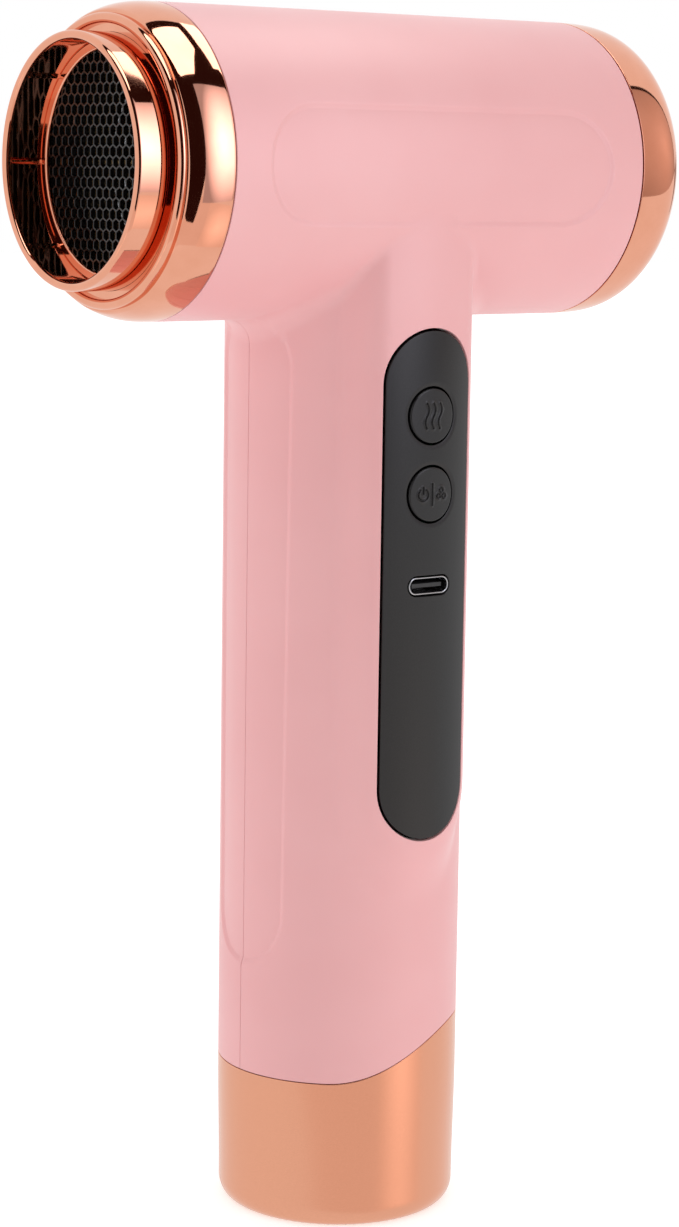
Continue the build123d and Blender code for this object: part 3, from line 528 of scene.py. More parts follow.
def housingField(p):
    # zero on the housing's skin: the two tubes joined by a rolling ball
    x, y, z = p[:, 0], p[:, 1], p[:, 2]
    a = np.maximum(handleField(x, y, z), z - axisH)
    b = barrelField(x, y, z)
    lean = np.clip(x * x / (np.hypot(x, y) * np.hypot(x, z - axisH) + 1e-9), 0, 0.985)
    r = housing["neckR"]
    p1, p2 = r - a, r - b
    ball = r - np.sqrt(np.maximum(p1 * p1 + p2 * p2 - 2 * lean * p1 * p2, 0) / (1 - lean * lean))
    inBall = (p1 - lean * p2 > 0) & (p2 - lean * p1 > 0)
    return np.where(inBall, ball, np.minimum(a, b))


def fieldSlope(p, reach=0.02):
    slope = np.empty_like(p)
    for k in range(3):
        step = np.zeros(3)
        step[k] = reach
        slope[:, k] = (housingField(p + step) - housingField(p - step)) / (2 * reach)
    return slope


def settle(points):
    # moves points along the slope on to the skin
    p = np.array(points, float)
    for _ in range(7):
        slope = fieldSlope(p)
        p -= slope * (housingField(p) / np.maximum((slope ** 2).sum(1), 0.05))[:, None]
    return p


def handleRadius(angle, z):
    x, y = np.cos(angle) * handleR, np.sin(angle) * handleR
    return handleR - handleField(x, y, z)


def neckFrame(angle):
    # where the ball's centre rolls, for a direction round the handle, a little outside the skin
    r = housing["neckR"] + 0.6
    q = handleRadius(angle, np.full_like(angle, housing["neckZ"])) + r
    drop = np.sqrt(np.maximum((barrelR + r) ** 2 - (q * np.cos(angle)) ** 2, 1.0))
    return r, q, drop


def handleSheet(side, angles):
    # lower sheet: handle from the bottom cap's seam up to the neck, with the panel's opening
    drop = neckFrame(angles)[2]
    neckZ = axisH - drop
    seamZ = seamHeight(handleR * np.sin(angles)) + 0.1 + housing["seamEdge"]
    arc = handleR * angles
    spacing = housing["grid"]

    def upSide(end, low, high):
        rows = round(abs(high - low) / spacing)
        return [(arc[end], low + (high - low) * i / rows) for i in range(1, rows)]

    outline = list(zip(arc, seamZ)) + upSide(-1, seamZ[-1], neckZ[-1])
    outline += list(zip(arc[::-1], neckZ[::-1])) + upSide(0, neckZ[0], seamZ[0])

    squeeze = handleR / panel["radius"]
    half = panel["halfWidth"] + panel["gap"]
    lowZ, highZ = panel["low"] - panel["gap"], panel["high"] + panel["gap"]
    holes, inner = [], []
    if side > 0:
        rings = [[(u * squeeze, z) for u, z in stadiumRing(lowZ, highZ, half, 0.9, grow)]
                 for grow in (0.25, 0.7, 1.3, 2.2)]
        holes = [rings[0]]
        inner += [point for ring in rings[1:] for point in ring]

    low, high, recessHalf = housing["handleRecess"]
    edge = housing["recessEdge"]
    # the recess is centred on the front, which is one end of this sheet
    for grow in np.linspace(-1.15 * edge, 1.15 * edge, 7):
        for u, z in stadiumRing(low, high, recessHalf, 1.2, grow):
            across = u * recessSpread(z) - handleR * pi / 2
            if arc[0] + 0.4 < across < arc[-1] and z < np.interp(across, arc, neckZ) - 0.5:
                inner.append((across, z))

    columns = round((arc[-1] - arc[0]) / spacing)
    for i in range(1, columns):
        u = arc[0] + (arc[-1] - arc[0]) * i / columns
        bottom, top = np.interp(u, arc, seamZ), np.interp(u, arc, neckZ)
        rows = round((top - bottom) / spacing)
        for j in range(1, rows):
            z = bottom + (top - bottom) * (j + 0.5 * (i % 2) - 0.25) / rows
            toFront = (u + handleR * pi / 2) / recessSpread(z)
            nearRecess = abs(stadiumDistance(toFront, z, low, high, recessHalf)) < 1.15 * edge + 0.6
            nearPanel = side > 0 and stadiumDistance(u / squeeze, z, lowZ, highZ, half) < 2.9
            if not nearRecess and not nearPanel:
                inner.append((u, z))
    flat, faces = triangulate([tuple(map(float, c)) for c in outline], holes, inner)
    angle, z = flat[:, 0] / handleR, flat[:, 1]
    radius = handleRadius(angle, z)
    points = np.column_stack([radius * np.cos(angle), radius * np.sin(angle), z])
    return points, faces


def neckSheet(angles):
    # the rolling ball's own sheet: for each angle, a row of points from the handle to the barrel
    r, q, drop = neckFrame(angles)
    rows = 12
    points, faces = [], []
    for angle, out, fall in zip(angles, q, drop):
        centre = np.array([out * cos(angle), out * sin(angle), axisH - fall])
        start = np.array([-cos(angle), -sin(angle), 0])
        end = np.array([-centre[0], 0, fall]) / (barrelR + r)
        turn = np.arccos(np.clip(np.dot(start, end), -1, 1))
        for j in range(rows + 1):
            t = j / rows
            way = (np.sin((1 - t) * turn) * start + np.sin(t * turn) * end) / np.sin(turn)
            points.append(centre + way * r)
    for i in range(len(angles) - 1):
        for j in range(rows):
            k = i * (rows + 1) + j
            faces.append((k, k + rows + 1, k + rows + 2, k + 1))
    return np.array(points), faces


def barrelSheet(edgeRing):
    # upper sheet: half of the barrel, with the neck's edge cut into its lower side
    inset = housing["seamHalfGap"] + housing["seamEdge"]
    spacing = housing["grid"]
    first, last = inset, barrelR * pi - inset
    y0 = housing["frontY"] + housing["seamEdge"]
    y1 = housing["rearY"] - housing["seamEdge"]
    neck = [(barrelR * atan2(p[0], axisH - p[2]), p[1]) for p in edgeRing]

    def run(start, end):
        steps = max(1, round(hypot(end[0] - start[0], end[1] - start[1]) / spacing))
        return [(start[0] + (end[0] - start[0]) * i / steps, start[1] + (end[1] - start[1]) * i / steps)
                for i in range(steps)]

    outline = run((first, y0), neck[0]) + neck[:-1] + run(neck[-1], (first, y1))
    outline += run((first, y1), (last, y1)) + run((last, y1), (last, y0)) + run((last, y0), (first, y0))
    low, high, half = housing["barrelRecess"]
    edge = housing["recessEdge"]
    middle = barrelR * pi / 2
    neckReach = np.array(neck)

    def clearOfNeck(u, y, margin):
        if not neckReach[:, 1].min() - margin < y < neckReach[:, 1].max() + margin:
            return True
        return u > np.interp(y, neckReach[:, 1], neckReach[:, 0]) + margin

    inner = []
    for grow in np.linspace(-1.15 * edge, 1.15 * edge, 7):
        inner += [(middle + u, y) for u, y in stadiumRing(low, high, half, 1.2, grow)
                  if clearOfNeck(middle + u, y, 0.4)]
    columns, rows = round((last - first) / spacing), round((y1 - y0) / spacing)
    for i in range(1, columns):
        for j in range(1, rows):
            u = first + (last - first) * i / columns
            y = y0 + (y1 - y0) * (j + 0.5 * (i % 2) - 0.25) / rows
            near = abs(stadiumDistance(u - middle, y, low, high, half)) < 1.15 * edge + 0.6
            if not near and clearOfNeck(u, y, 0.7):
                inner.append((u, y))
    flat, faces = triangulate([tuple(map(float, c)) for c in outline], [], inner)
    angle = flat[:, 0] / barrelR
    points = np.column_stack([barrelR * np.sin(angle), flat[:, 1], axisH - barrelR * np.cos(angle)])
    # the shared edge takes the neck's own points
    for spot, place in zip(neck, edgeRing):
        match = np.argmin(np.hypot(flat[:, 0] - spot[0], flat[:, 1] - spot[1]))
        points[match] = place
    # seen from outside, this sheet runs the other way round
    return points, [tuple(reversed(face)) for face in faces]


def housingHalf(side):
    inset = (housing["seamHalfGap"] + housing["seamEdge"]) / handleR
    angles = np.linspace(inset - pi / 2, pi / 2 - inset, 2 * round(pi * handleR / 2 / 1.1) + 1)
    lower, lowerFaces = handleSheet(side, angles)
    neck, neckFaces = neckSheet(angles)
    neck = settle(neck)
    rows = len(neck) // len(angles)
    upper, upperFaces = barrelSheet(neck[rows - 1::rows])
    lower, upper = settle(lower), settle(upper)
    points = np.vstack([lower, neck, upper])
    faces = list(lowerFaces)
    faces += [tuple(len(lower) + i for i in f) for f in neckFaces]
    faces += [tuple(len(lower) + len(neck) + i for i in f) for f in upperFaces]
    return points, faces


for side, name in ((1, "housing_right_shell"), (-1, "housing_left_shell")):
    # both halves are drawn on +X; the left one has no land, and is mirrored when it is closed
    housing["hasLand"] = side > 0
    points, faces = housingHalf(side)
    points, faces = weld(points, faces, 4e-3)
    normals = fieldSlope(points)
    normals /= np.linalg.norm(normals, axis=1)[:, None]
    points, normals, faces = closeSheet(points, normals, faces, housing["wall"], housing["seamEdge"])
    if side < 0:
        points[:, 0] *= -1
        normals[:, 0] *= -1
        faces = [tuple(reversed(face)) for face in faces]
    makePiece(name.replace("housing_", "skin_"), points, faces, "housing_plastic", "casing",
              [name], normals)
    print(name, "skinned:", len(points), "points")

# ---- control panel, buttons and charging socket


def wrapped(flat, radius, sunk, reach=0.02):
    # wraps a flat (arc, height) sheet round the handle; sunk gives the depth below the face
    u, v = flat[:, 0], flat[:, 1]
    depth = sunk(u, v)
    slopeU = (sunk(u + reach, v) - sunk(u - reach, v)) / (2 * reach)
    slopeV = (sunk(u, v + reach) - sunk(u, v - reach)) / (2 * reach)
    angle = u / radius
    out = np.column_stack([np.cos(angle), np.sin(angle), np.zeros_like(angle)])
    aside = np.column_stack([-np.sin(angle), np.cos(angle), np.zeros_like(angle)])
    up = np.array([0.0, 0.0, 1.0])
    points = out * (radius - depth)[:, None] + up * v[:, None]
    return points, out + aside * slopeU[:, None] + up * slopeV[:, None]


def panelDish(u, v):
    depth = np.zeros_like(u)
    for height in button["heights"].values():
        away = (np.hypot(u, v - height) - button["radius"] - button["gap"]) / panel["dishWidth"]
        depth += panel["dishDepth"] * np.clip(1 - away, 0, 1) ** 1.5
    return depth


def makePanel():
    edge = panel["edge"]
    outline = stadiumRing(panel["low"], panel["high"], panel["halfWidth"], 0.9, -edge)
    holes, inner, keepOff = [], [], []
    for grow in (0.25, 0.6, 1.1):
        inner += stadiumRing(panel["low"], panel["high"], panel["halfWidth"], 0.9, -edge - grow)
    holeR = button["radius"] + button["gap"]
    for height in button["heights"].values():
        holes.append(ringPoints(holeR + edge / 2, 64, (0, height)))
        for grow in (0.3, 0.45, 0.6, 0.75, 0.95, 1.4):
            inner += ringPoints(holeR + grow, 64, (0, height))
        keepOff.append((height, holeR + 1.9))
    slotHalf = socket["tall"] / 2 + socket["gap"]
    slotLong = socket["width"] / 2 + socket["gap"]
    for grow in (edge / 2, 0.5, 1.0):
        slot = [(v, u + socket["height"]) for u, v in stadiumRing(-slotLong, slotLong, slotHalf, 0.6, grow)]
        slot.reverse()
        if grow == edge / 2:
            holes.append(slot)
        else:
            inner += slot
    step = 1.5
    for i in range(-7, 8):
        for j in range(int((panel["high"] - panel["low"]) / step) + 1):
            u, v = i * step * 0.95, panel["low"] + j * step
            clear = stadiumDistance(u, v, panel["low"], panel["high"], panel["halfWidth"]) < -edge - 1.6
            clear = clear and all(hypot(u, v - h) > r for h, r in keepOff)
            if clear and stadiumDistance(v - socket["height"], u, -slotLong, slotLong, slotHalf) > 1.5:
                inner.append((u, v))
    flat, faces = triangulate(outline, holes, inner)
    points, normals = wrapped(flat, panel["radius"], panelDish)
    points, normals, faces = closeSheet(points, normals, faces, panel["thickness"], edge / 2)
    makePiece("panelPlate", points, faces, "panel_plastic", "casing", ["control_panel"], normals)


def waveLines():
    # three rising waves of warm air
    lines = []
    for middle in (-1.45, 0, 1.45):
        rise = np.linspace(-2.2, 2.2, 22)
        lines.append([(middle + 0.38 * sin(rise[i] / 2.2 * pi), rise[i]) for i in range(len(rise))])
    return lines


def powerAndFanLines():
    # a power mark, a dividing bar and a three-blade fan
    ring = [(-1.95 + 1.05 * sin(radians(a)), 1.05 * cos(radians(a))) for a in range(35, 330, 12)]
    stem = [(-1.95, 0.15), (-1.95, 1.3)]
    bar = [(0.0, -1.9), (0.0, 1.9)]
    lines = [ring, stem, bar]
    for turn in (90, 210, 330):
        middle = (2.05 + 0.72 * cos(radians(turn)), 0.72 * sin(radians(turn)))
        lines.append([(middle[0] + 0.42 * cos(radians(a)), middle[1] + 0.42 * sin(radians(a)))
                      for a in range(0, 361, 30)])
    return lines


def makeButton(key, lines):
    height = button["heights"][key]
    runs = [(a, b) for line in lines for a, b in zip(line, line[1:])]

    def toStroke(u, v):
        nearest = np.full(np.shape(u), 9.0)
        for a, b in runs:
            dx, dy = b[0] - a[0], b[1] - a[1]
            t = np.clip(((u - a[0]) * dx + (v - a[1]) * dy) / (dx * dx + dy * dy), 0, 1)
            nearest = np.minimum(nearest, np.hypot(u - a[0] - t * dx, v - a[1] - t * dy))
        return nearest

    def engraved(u, v):
        away = toStroke(u, v - height)
        half = button["strokeHalf"]
        cut = button["strokeDepth"] * (1 - smoothStep(0.25 * half, 1.15 * half, away))
        lip = button["strokeLip"] * np.exp(-((away - 1.7 * half) / (0.45 * half)) ** 2)
        return cut - lip

    faceR = button["radius"] - button["edge"]
    outline = ringPoints(faceR, 72, (0, height))
    inner = ringPoints(faceR - 0.15, 72, (0, height)) + ringPoints(faceR - 0.4, 60, (0, height))
    for step, near in ((0.085, True), (0.42, False)):
        n = ceil(faceR / step)
        grid = np.array([((i + 0.5 * (j % 2)) * step, j * step * 0.866)
                         for i in range(-n, n + 1) for j in range(-int(n * 1.2), int(n * 1.2) + 1)])
        grid = grid[np.hypot(grid[:, 0], grid[:, 1]) < faceR - 0.55]
        away = toStroke(grid[:, 0], grid[:, 1])
        grid = grid[away < 0.42] if near else grid[away > 0.5]
        inner += [(u, v + height) for u, v in grid.tolist()]
    flat, faces = triangulate(outline, [], inner)
    points, normals = wrapped(flat, panel["radius"] + button["proud"], engraved)
    points, normals, faces = closeSheet(points, normals, faces, button["thickness"], button["edge"], 5)
    makePiece(key + "Key", points, faces, "panel_plastic", key + "_key", [key + "_button"], normals)


makePanel()
makeButton("heat", waveLines())
makeButton("power", powerAndFanLines())


def makeSocket():
    # a drawn steel tube with a rolled lip and a closed back
    lip = socket["wall"] / 2
    sections = [(0.0, socket["back"]), (0.0, socket["back"] + 1), (0.0, socket["face"] - 1.0)]
    for k in range(9):
        sections.append((lip * (1 - cos(pi * k / 8)), socket["face"] - lip + lip * sin(pi * k / 8)))
    sections += [(2 * lip, socket["face"] - 1.0), (2 * lip, socket["back"] + 0.6)]
    points, faces = [], []
    half = socket["tall"] / 2
    for shrink, x in sections:
        ring = stadiumRing(-socket["width"] / 2, socket["width"] / 2, half, 0.35, -shrink)
        points += [(x, v, u + socket["height"]) for u, v in ring]
    n = len(points) // len(sections)
    for k in range(len(sections) - 1):
        for i in range(n):
            j = (i + 1) % n
            faces.append((k * n + i, (k + 1) * n + i, (k + 1) * n + j, k * n + j))
    faces.append(tuple(range(n)))
    faces.append(tuple(len(points) - 1 - i for i in range(n)))
    makePiece("socketTube", np.array(points), faces, "steel", "casing", ["charging_socket_shell"])


makeSocket()
print("panel, buttons and socket made")

# ---- outlet: collar, sleeve, ring and honeycomb

outlet = {
    "seamY": -44.1,
    "domeEndY": -52.5,
    "domeReach": 16.8,       # the dome is a rounded superellipse in section
    "domePower": 2.63,
    "beadR": 25.1,           # rolled bead in front of the dome
    "beadInR": 23.25,
    "beadY": -53.75,
    "grooveY": -52.3,        # bottom of the groove between the bead and the sleeve
    "sleeveR": 21.9,
    "sleeveInR": 20.7,
    "lipInR": 20.35,
    "ringY": -52.3,
    "ringInR": 19.1,
    "ringThick": 0.9,
    "grilleThick": 1.0,
    "pitch": 2.05,           # between neighbouring hexagons
    "web": 0.34,
    "ribs": 8,
    "ribHigh": 0.5,
    "ribHalf": 0.36,
    "leastCell": 0.5,        # a cut cell narrower than this stays closed
    "seatR": 23.5,           # flange of the sleeve, held behind the collar
    "seatY": -51.1,
    "seatBackY": -49.8,
    "spigotR": 25.35,        # the collar's spigot inside the barrel
    "spigotInR": 23.8,
    "spigotLong": 3.1,
}
evenStations = [tau * i / 240 for i in range(240)]


def domeRadius(y):
    past = (outlet["seamY"] - y) / outlet["domeReach"]
    return barrelR * (1 - max(past, 0) ** outlet["domePower"]) ** (1 / outlet["domePower"])


def makeCollar():
    seam, end, bead = outlet["seamY"], outlet["domeEndY"], outlet["beadR"]
    deep, spigotR, spigotInR = seam + outlet["spigotLong"], outlet["spigotR"], outlet["spigotInR"]
    profile = [(deep, spigotInR), (deep, spigotR), (seam, spigotR), (seam, barrelR - 0.25)]
    profile += arcSpan((seam - 0.15, barrelR - 0.15), 0.15, 0, 90, 4)
    profile += [(y, domeRadius(y)) for y in np.linspace(seam - 0.5, end + 0.3, 22)]
    profile.append((end + 0.12, domeRadius(end + 0.3) - 0.22))
    roll = (bead - outlet["beadInR"]) / 2
    profile += arcSpan((outlet["beadY"] + roll, bead - roll), roll, 62, 270, 22)
    inside = outlet["sleeveR"] + 0.04
    seatY, seatR, seatBackY = outlet["seatY"], outlet["seatR"], outlet["seatBackY"]
    profile += [(outlet["grooveY"], outlet["beadInR"]), (outlet["grooveY"], inside), (seatY, inside)]
    profile += [(seatY, seatR), (seatBackY, seatR), (seatBackY, spigotInR)]
    profile.reverse()
    points, faces = lathe(withSupports(profile), evenStations)
    makePiece("collarDome", points, faces, "rose_gold_chrome", "casing", ["outlet_collar"])


def makeSleeve():
    lip = (outlet["sleeveR"] - outlet["lipInR"]) / 2
    middle = (rimY + lip, outlet["sleeveR"] - lip)
    wallR, back = outlet["sleeveInR"], outlet["ringY"] + outlet["ringThick"] + outlet["grilleThick"]
    flangeR, flangeY, flangeBackY = 23.35, -51.05, -49.85      # a little clear of its seat
    profile = [(flangeBackY, flangeR), (flangeY, flangeR), (flangeY, outlet["sleeveR"])]
    profile += arcSpan(middle, lip, 90, 270, 16)
    profile += [(middle[0] + 0.25, outlet["lipInR"] + 0.03), (middle[0] + 0.6, wallR)]
    profile += [(y, wallR) for y in (-57.0, -55.0, -53.0, back)]
    profile += [(back, outlet["ringInR"]), (flangeBackY, outlet["ringInR"])]
    stations = set(round(a, 6) for a in evenStations)
    for k in range(outlet["ribs"]):
        for across in (-0.6, -0.44, -0.3, -0.15, 0, 0.15, 0.3, 0.44, 0.6):
            stations.add(round((tau * k / outlet["ribs"] + across / wallR) % tau, 6))
    ordered = sorted(stations)
    stations = [a for i, a in enumerate(ordered) if a - ordered[i - 1] > 1e-3 or i == 0]

    def ribbed(along, radius, angle):
        if abs(radius - wallR) > 1e-6 or along > outlet["ringY"] + 0.5:
            return radius
        spacing = tau / outlet["ribs"]
        across = abs((angle + spacing / 2) % spacing - spacing / 2) * wallR
        return radius - outlet["ribHigh"] * (1 - float(smoothStep(0.55, 1.45, across / outlet["ribHalf"])))

    profile.reverse()
    points, faces = lathe(withSupports(profile), stations, ribbed)
    makePiece("sleeveTube", points, faces, "rose_gold_chrome", "casing", ["outlet_sleeve"])


def makeRing():
    front, inside, outside = outlet["ringY"], outlet["ringInR"], outlet["sleeveInR"] - 0.04
    profile = arcSpan((front + 0.4, inside + 0.4), 0.4, 180, 270, 7)
    profile += [(front + outlet["ringThick"], inside), (front + outlet["ringThick"], outside)]
    profile += [(front + 0.15, outside), (front, outside - 0.15)]
    points, faces = lathe(withSupports(profile), evenStations)
    makePiece("retainingRing", points, faces, "rose_gold_chrome", "casing", ["grille_ring"])


def clipToCircle(ring, radius):
    # keeps the part of a small polygon that lies inside a circle
    kept = []
    for (x0, y0), (x1, y1) in zip(ring, ring[1:] + ring[:1]):
        r0, r1 = hypot(x0, y0), hypot(x1, y1)
        if r0 <= radius:
            kept.append((x0, y0))
        if (r0 <= radius) != (r1 <= radius):
            t = (radius - r0) / (r1 - r0)
            kept.append((x0 + (x1 - x0) * t, y0 + (y1 - y0) * t))
    return kept


def makeGrille():
    pitch = outlet["pitch"]
    edge = 0.09
    corner = (pitch - outlet["web"]) / 2 / cos(pi / 6) + edge / cos(pi / 6)
    holes = []
    reach = int(outlet["ringInR"] / pitch / cos(pi / 6)) + 2
    for row in range(-reach, reach + 1):
        for column in range(-reach, reach + 1):
            x = (column + 0.5 * (row % 2)) * pitch
            z = row * pitch * cos(pi / 6)
            cell = [(x + corner * cos(radians(30 + 60 * k)), z + corner * sin(radians(30 + 60 * k)))
                    for k in range(6)]
            cell = clipToCircle(cell, outlet["ringInR"] + 0.25)
            if len(cell) > 2 and min(np.ptp(np.array(cell), axis=0)) > outlet["leastCell"]:
                holes.append(cell)
    flat, faces = triangulate(ringPoints(outlet["sleeveInR"] - 0.15, 120), holes, [])
    y = outlet["ringY"] + outlet["ringThick"] + 0.02
    points = np.column_stack([flat[:, 0], np.full(len(flat), y), flat[:, 1] + axisH])
    normals = np.tile([0.0, -1.0, 0.0], (len(points), 1))
    points, normals, faces = closeSheet(points, normals, faces, outlet["grilleThick"] - 0.04, edge, 2)
    makePiece("honeycomb", points, faces, "grille_black", "casing", ["outlet_grille"], sharp=50)


makeCollar()
makeSleeve()
makeRing()
makeGrille()
print("outlet made")

# ---- rear cap with its air intake, and the foot cap

intake = {
    "seamY": 46.9,
    "power": 3.6,            # the cap is a superellipse in section: flat crown, round shoulder
    "wall": 1.6,
    "edge": 0.12,
    "holeR": 0.9,
    "pitch": 2.9,
    "rings": 6,
}


def alongProfile(radii, heights):
    # lookups by distance along a profile: radius, height and the outward normal
    r, h = np.array(radii), np.array(heights)
    s = np.concatenate([[0], np.cumsum(np.hypot(np.diff(r), np.diff(h)))])
    return s, r, h, (np.gradient(r, s), np.gradient(h, s))


def liftSheet(flat, profile, outward):
    # wraps a flat round sheet on to a turned profile: places and normals as (across, aside, along)
    s, r, h, (dr, dh) = profile
    away = np.hypot(flat[:, 0], flat[:, 1])
    way = flat / np.maximum(away, 1e-9)[:, None]
    radius, lean = np.interp(away, s, r), outward * np.interp(away, s, dh)
    places = radius * way[:, 1], radius * way[:, 0], np.interp(away, s, h)
    return places, (lean * way[:, 1], lean * way[:, 0], -outward * np.interp(away, s, dr))


def closeCap(points, normals, faces, sizes):
    normals /= np.linalg.norm(normals, axis=1)[:, None]
    return closeSheet(points, normals, faces, sizes["wall"], sizes["edge"])


def makeRearCap():
    rise, power, base = crownY - intake["seamY"] + 0.1, intake["power"], intake["seamY"] - 0.1
    t = np.linspace(0, 1, 3000) ** 2 * pi / 2
    radii = barrelR * np.sin(t) ** (2 / power)
    heights = base + rise * np.maximum(np.cos(t), 0) ** (2 / power)
    keep = heights > intake["seamY"] + intake["edge"]
    profile = alongProfile(radii[keep], heights[keep])
    reachS = profile[0][-1]
    spots = [(0.0, 0.0)]
    for ring in range(1, intake["rings"] + 1):
        spots += ringPoints(ring * intake["pitch"], 6 * ring)
    holes, inner = [], []
    for spot in spots:
        holes.append(ringPoints(intake["holeR"] + intake["edge"], 20, spot))
        inner += ringPoints(intake["holeR"] + intake["edge"] + 0.22, 20, spot)
    place = np.array(spots)
    for k in range(1, ceil(reachS / 0.75)):
        ringS = reachS * k / ceil(reachS / 0.75)
        for u, v in ringPoints(ringS, max(8, round(tau * ringS / 1.3))):
            if np.hypot(place[:, 0] - u, place[:, 1] - v).min() > intake["holeR"] + 0.6:
                inner.append((u, v))
    flat, faces = triangulate(ringPoints(reachS, 180), holes, inner)
    (x, up, y), (leanX, leanUp, leanY) = liftSheet(flat, profile, -1)
    points, normals = np.column_stack([x, y, axisH + up]), np.column_stack([leanX, leanY, leanUp])
    points, normals, faces = closeCap(points, normals, faces, intake)
    makePiece("intakeCap", points, faces, "rose_gold_chrome", "casing", ["rear_cap"], normals)


def makeFoot():
    turn = np.linspace(0, pi / 2, 40)
    radii = [0, 8, foot["flatR"] - 0.2]
    radii += list(foot["flatR"] + (foot["sideR"] - foot["flatR"]) * np.sin(turn))
    heights = [0, 0, 0] + list(foot["turnHigh"] * (1 - np.cos(turn)))
    steps = np.linspace(foot["turnHigh"] + 1, 40, 60)
    taper = smoothStep(foot["turnHigh"], foot["taperEnd"], steps)
    radii += list(foot["sideR"] + (handleR - foot["sideR"]) * taper)
    heights += list(steps)
    profile = alongProfile(radii, heights)
    s, r, z = profile[:3]

    def outerS(angle):
        seam = seamHeight(handleR * cos(angle)) - foot["edge"] - 0.02
        return float(np.interp(seam, z[3:], s[3:]))

    count = 160
    outline = []
    for i in range(count):
        a = tau * i / count
        outline.append((outerS(a) * cos(a), outerS(a) * sin(a)))
    spots = [(foot["screwY"], 0.0), (-foot["screwY"], 0.0)]
    holes = [ringPoints(foot["screwHoleR"] + foot["edge"], 32, spot) for spot in spots]
    turnStart = float(np.interp(foot["flatR"], r, s))
    turnEnd = float(np.interp(foot["turnHigh"], z[3:], s[3:]))
    inner = []
    levels = list(np.arange(2, turnStart - 0.5, 2)) + list(np.linspace(turnStart - 0.2, turnEnd + 0.4, 12))
    for level in levels:
        for u, v in ringPoints(level, max(12, round(tau * level / 1.6))):
            if min(hypot(u - a, v - b) for a, b in spots) > foot["screwHoleR"] + 0.6:
                inner.append((u, v))
    rows = 18
    for k in range(1, rows):
        for i in range(count):
            a = tau * (i + 0.5 * (k % 2)) / count
            level = turnEnd + 0.4 + (outerS(a) - turnEnd - 0.4) * k / rows
            inner.append((level * cos(a), level * sin(a)))
    flat, faces = triangulate(outline, holes, inner)
    places, leans = liftSheet(flat, profile, 1)
    points, normals, faces = closeCap(np.column_stack(places), np.column_stack(leans), faces, foot)
    makePiece("footCap", points, faces, "rose_gold_satin", "casing", ["bottom_cap"], normals)


makeRearCap()
makeFoot()
print("rear cap and foot made")

# ---- camera, floor and light

cameraPlace = (0.436657, -0.331769, 0.191698)
heading, tilt, roll = 52.891, 8.274, 0.823      # in degrees; the tilt is downward
lens = bpy.data.cameras.new("studioCamera")
lens.lens = 88.11
lens.sensor_width = 36.0
lens.shift_x = 0.00218
lens.shift_y = -0.00689
camera = bpy.data.objects.new("studioCamera", lens)
camera.matrix_world = (Matrix.Translation(cameraPlace)
                       @ Matrix.Rotation(radians(heading), 4, "Z")
                       @ Matrix.Rotation(pi / 2 - radians(tilt), 4, "X")
                       @ Matrix.Rotation(radians(roll), 4, "Z"))
bpy.context.scene.collection.objects.link(camera)
bpy.context.scene.camera = camera

studio = {
    "worldStrength": 0.74,
    "aim": (0, 0, 0.19),         # what the lamps face
    "floorReach": 5.5,
    "sweepR": 6.0,               # a white dome closes the room for the eye and for reflections
}


def roundBarrel(turn, back):
    # a direction: turn goes round the barrel's axis from +X over the top, back leans to the intake
    return Vector((cos(radians(back)) * cos(radians(turn)), sin(radians(back)),
                   cos(radians(back)) * sin(radians(turn))))


def glowPaper(name, colour, strength):
    # backlit paper: it gives its own even light and takes none
    look = bpy.data.materials.new(name)
    look.use_nodes = True
    look.node_tree.nodes.clear()
    light = addNode(look.node_tree, "ShaderNodeEmission", {"Color": linear(colour), "Strength": strength})
    addNode(look.node_tree, "ShaderNodeOutputMaterial", None, {"Surface": light.outputs["Emission"]})
    return look, light


def stageMesh(name, points, faces, look):
    mesh = bpy.data.meshes.new(name)
    mesh.from_pydata([tuple(p) for p in points], [], faces)
    mesh.materials.append(look)
    piece = bpy.data.objects.new(name, mesh)
    bpy.context.scene.collection.objects.link(piece)
    return piece


def gridFaces(rows, columns):
    return [(i * (columns + 1) + j, i * (columns + 1) + j + 1, (i + 1) * (columns + 1) + j + 1,
             (i + 1) * (columns + 1) + j) for i in range(rows) for j in range(columns)]


reach = studio["floorReach"]
floor = stageMesh("floor", [(-reach, -reach, 0), (reach, -reach, 0), (reach, reach, 0), (-reach, reach, 0)],
                  [(0, 1, 2, 3)], looks["paper"])
floor.visible_glossy = False
domePoints = [Vector((cos(radians(lift)) * cos(radians(turn)), cos(radians(lift)) * sin(radians(turn)),
                      sin(radians(lift)))) * studio["sweepR"]
              for lift in range(-90, 91, 10) for turn in range(0, 361, 10)]
sweep = stageMesh("sweep", domePoints, gridFaces(18, 36), glowPaper("whiteSweepPaper", "#FFFFFF", 1.0)[0])
sweep.visible_diffuse = sweep.visible_shadow = False

world = bpy.data.worlds.new("studioWorld")
world.use_nodes = True
world.node_tree.nodes["Background"].inputs["Color"].default_value = (1, 1, 1, 1)
world.node_tree.nodes["Background"].inputs["Strength"].default_value = studio["worldStrength"]
bpy.context.scene.world = world
bpy.context.scene.view_settings.view_transform = "Standard"

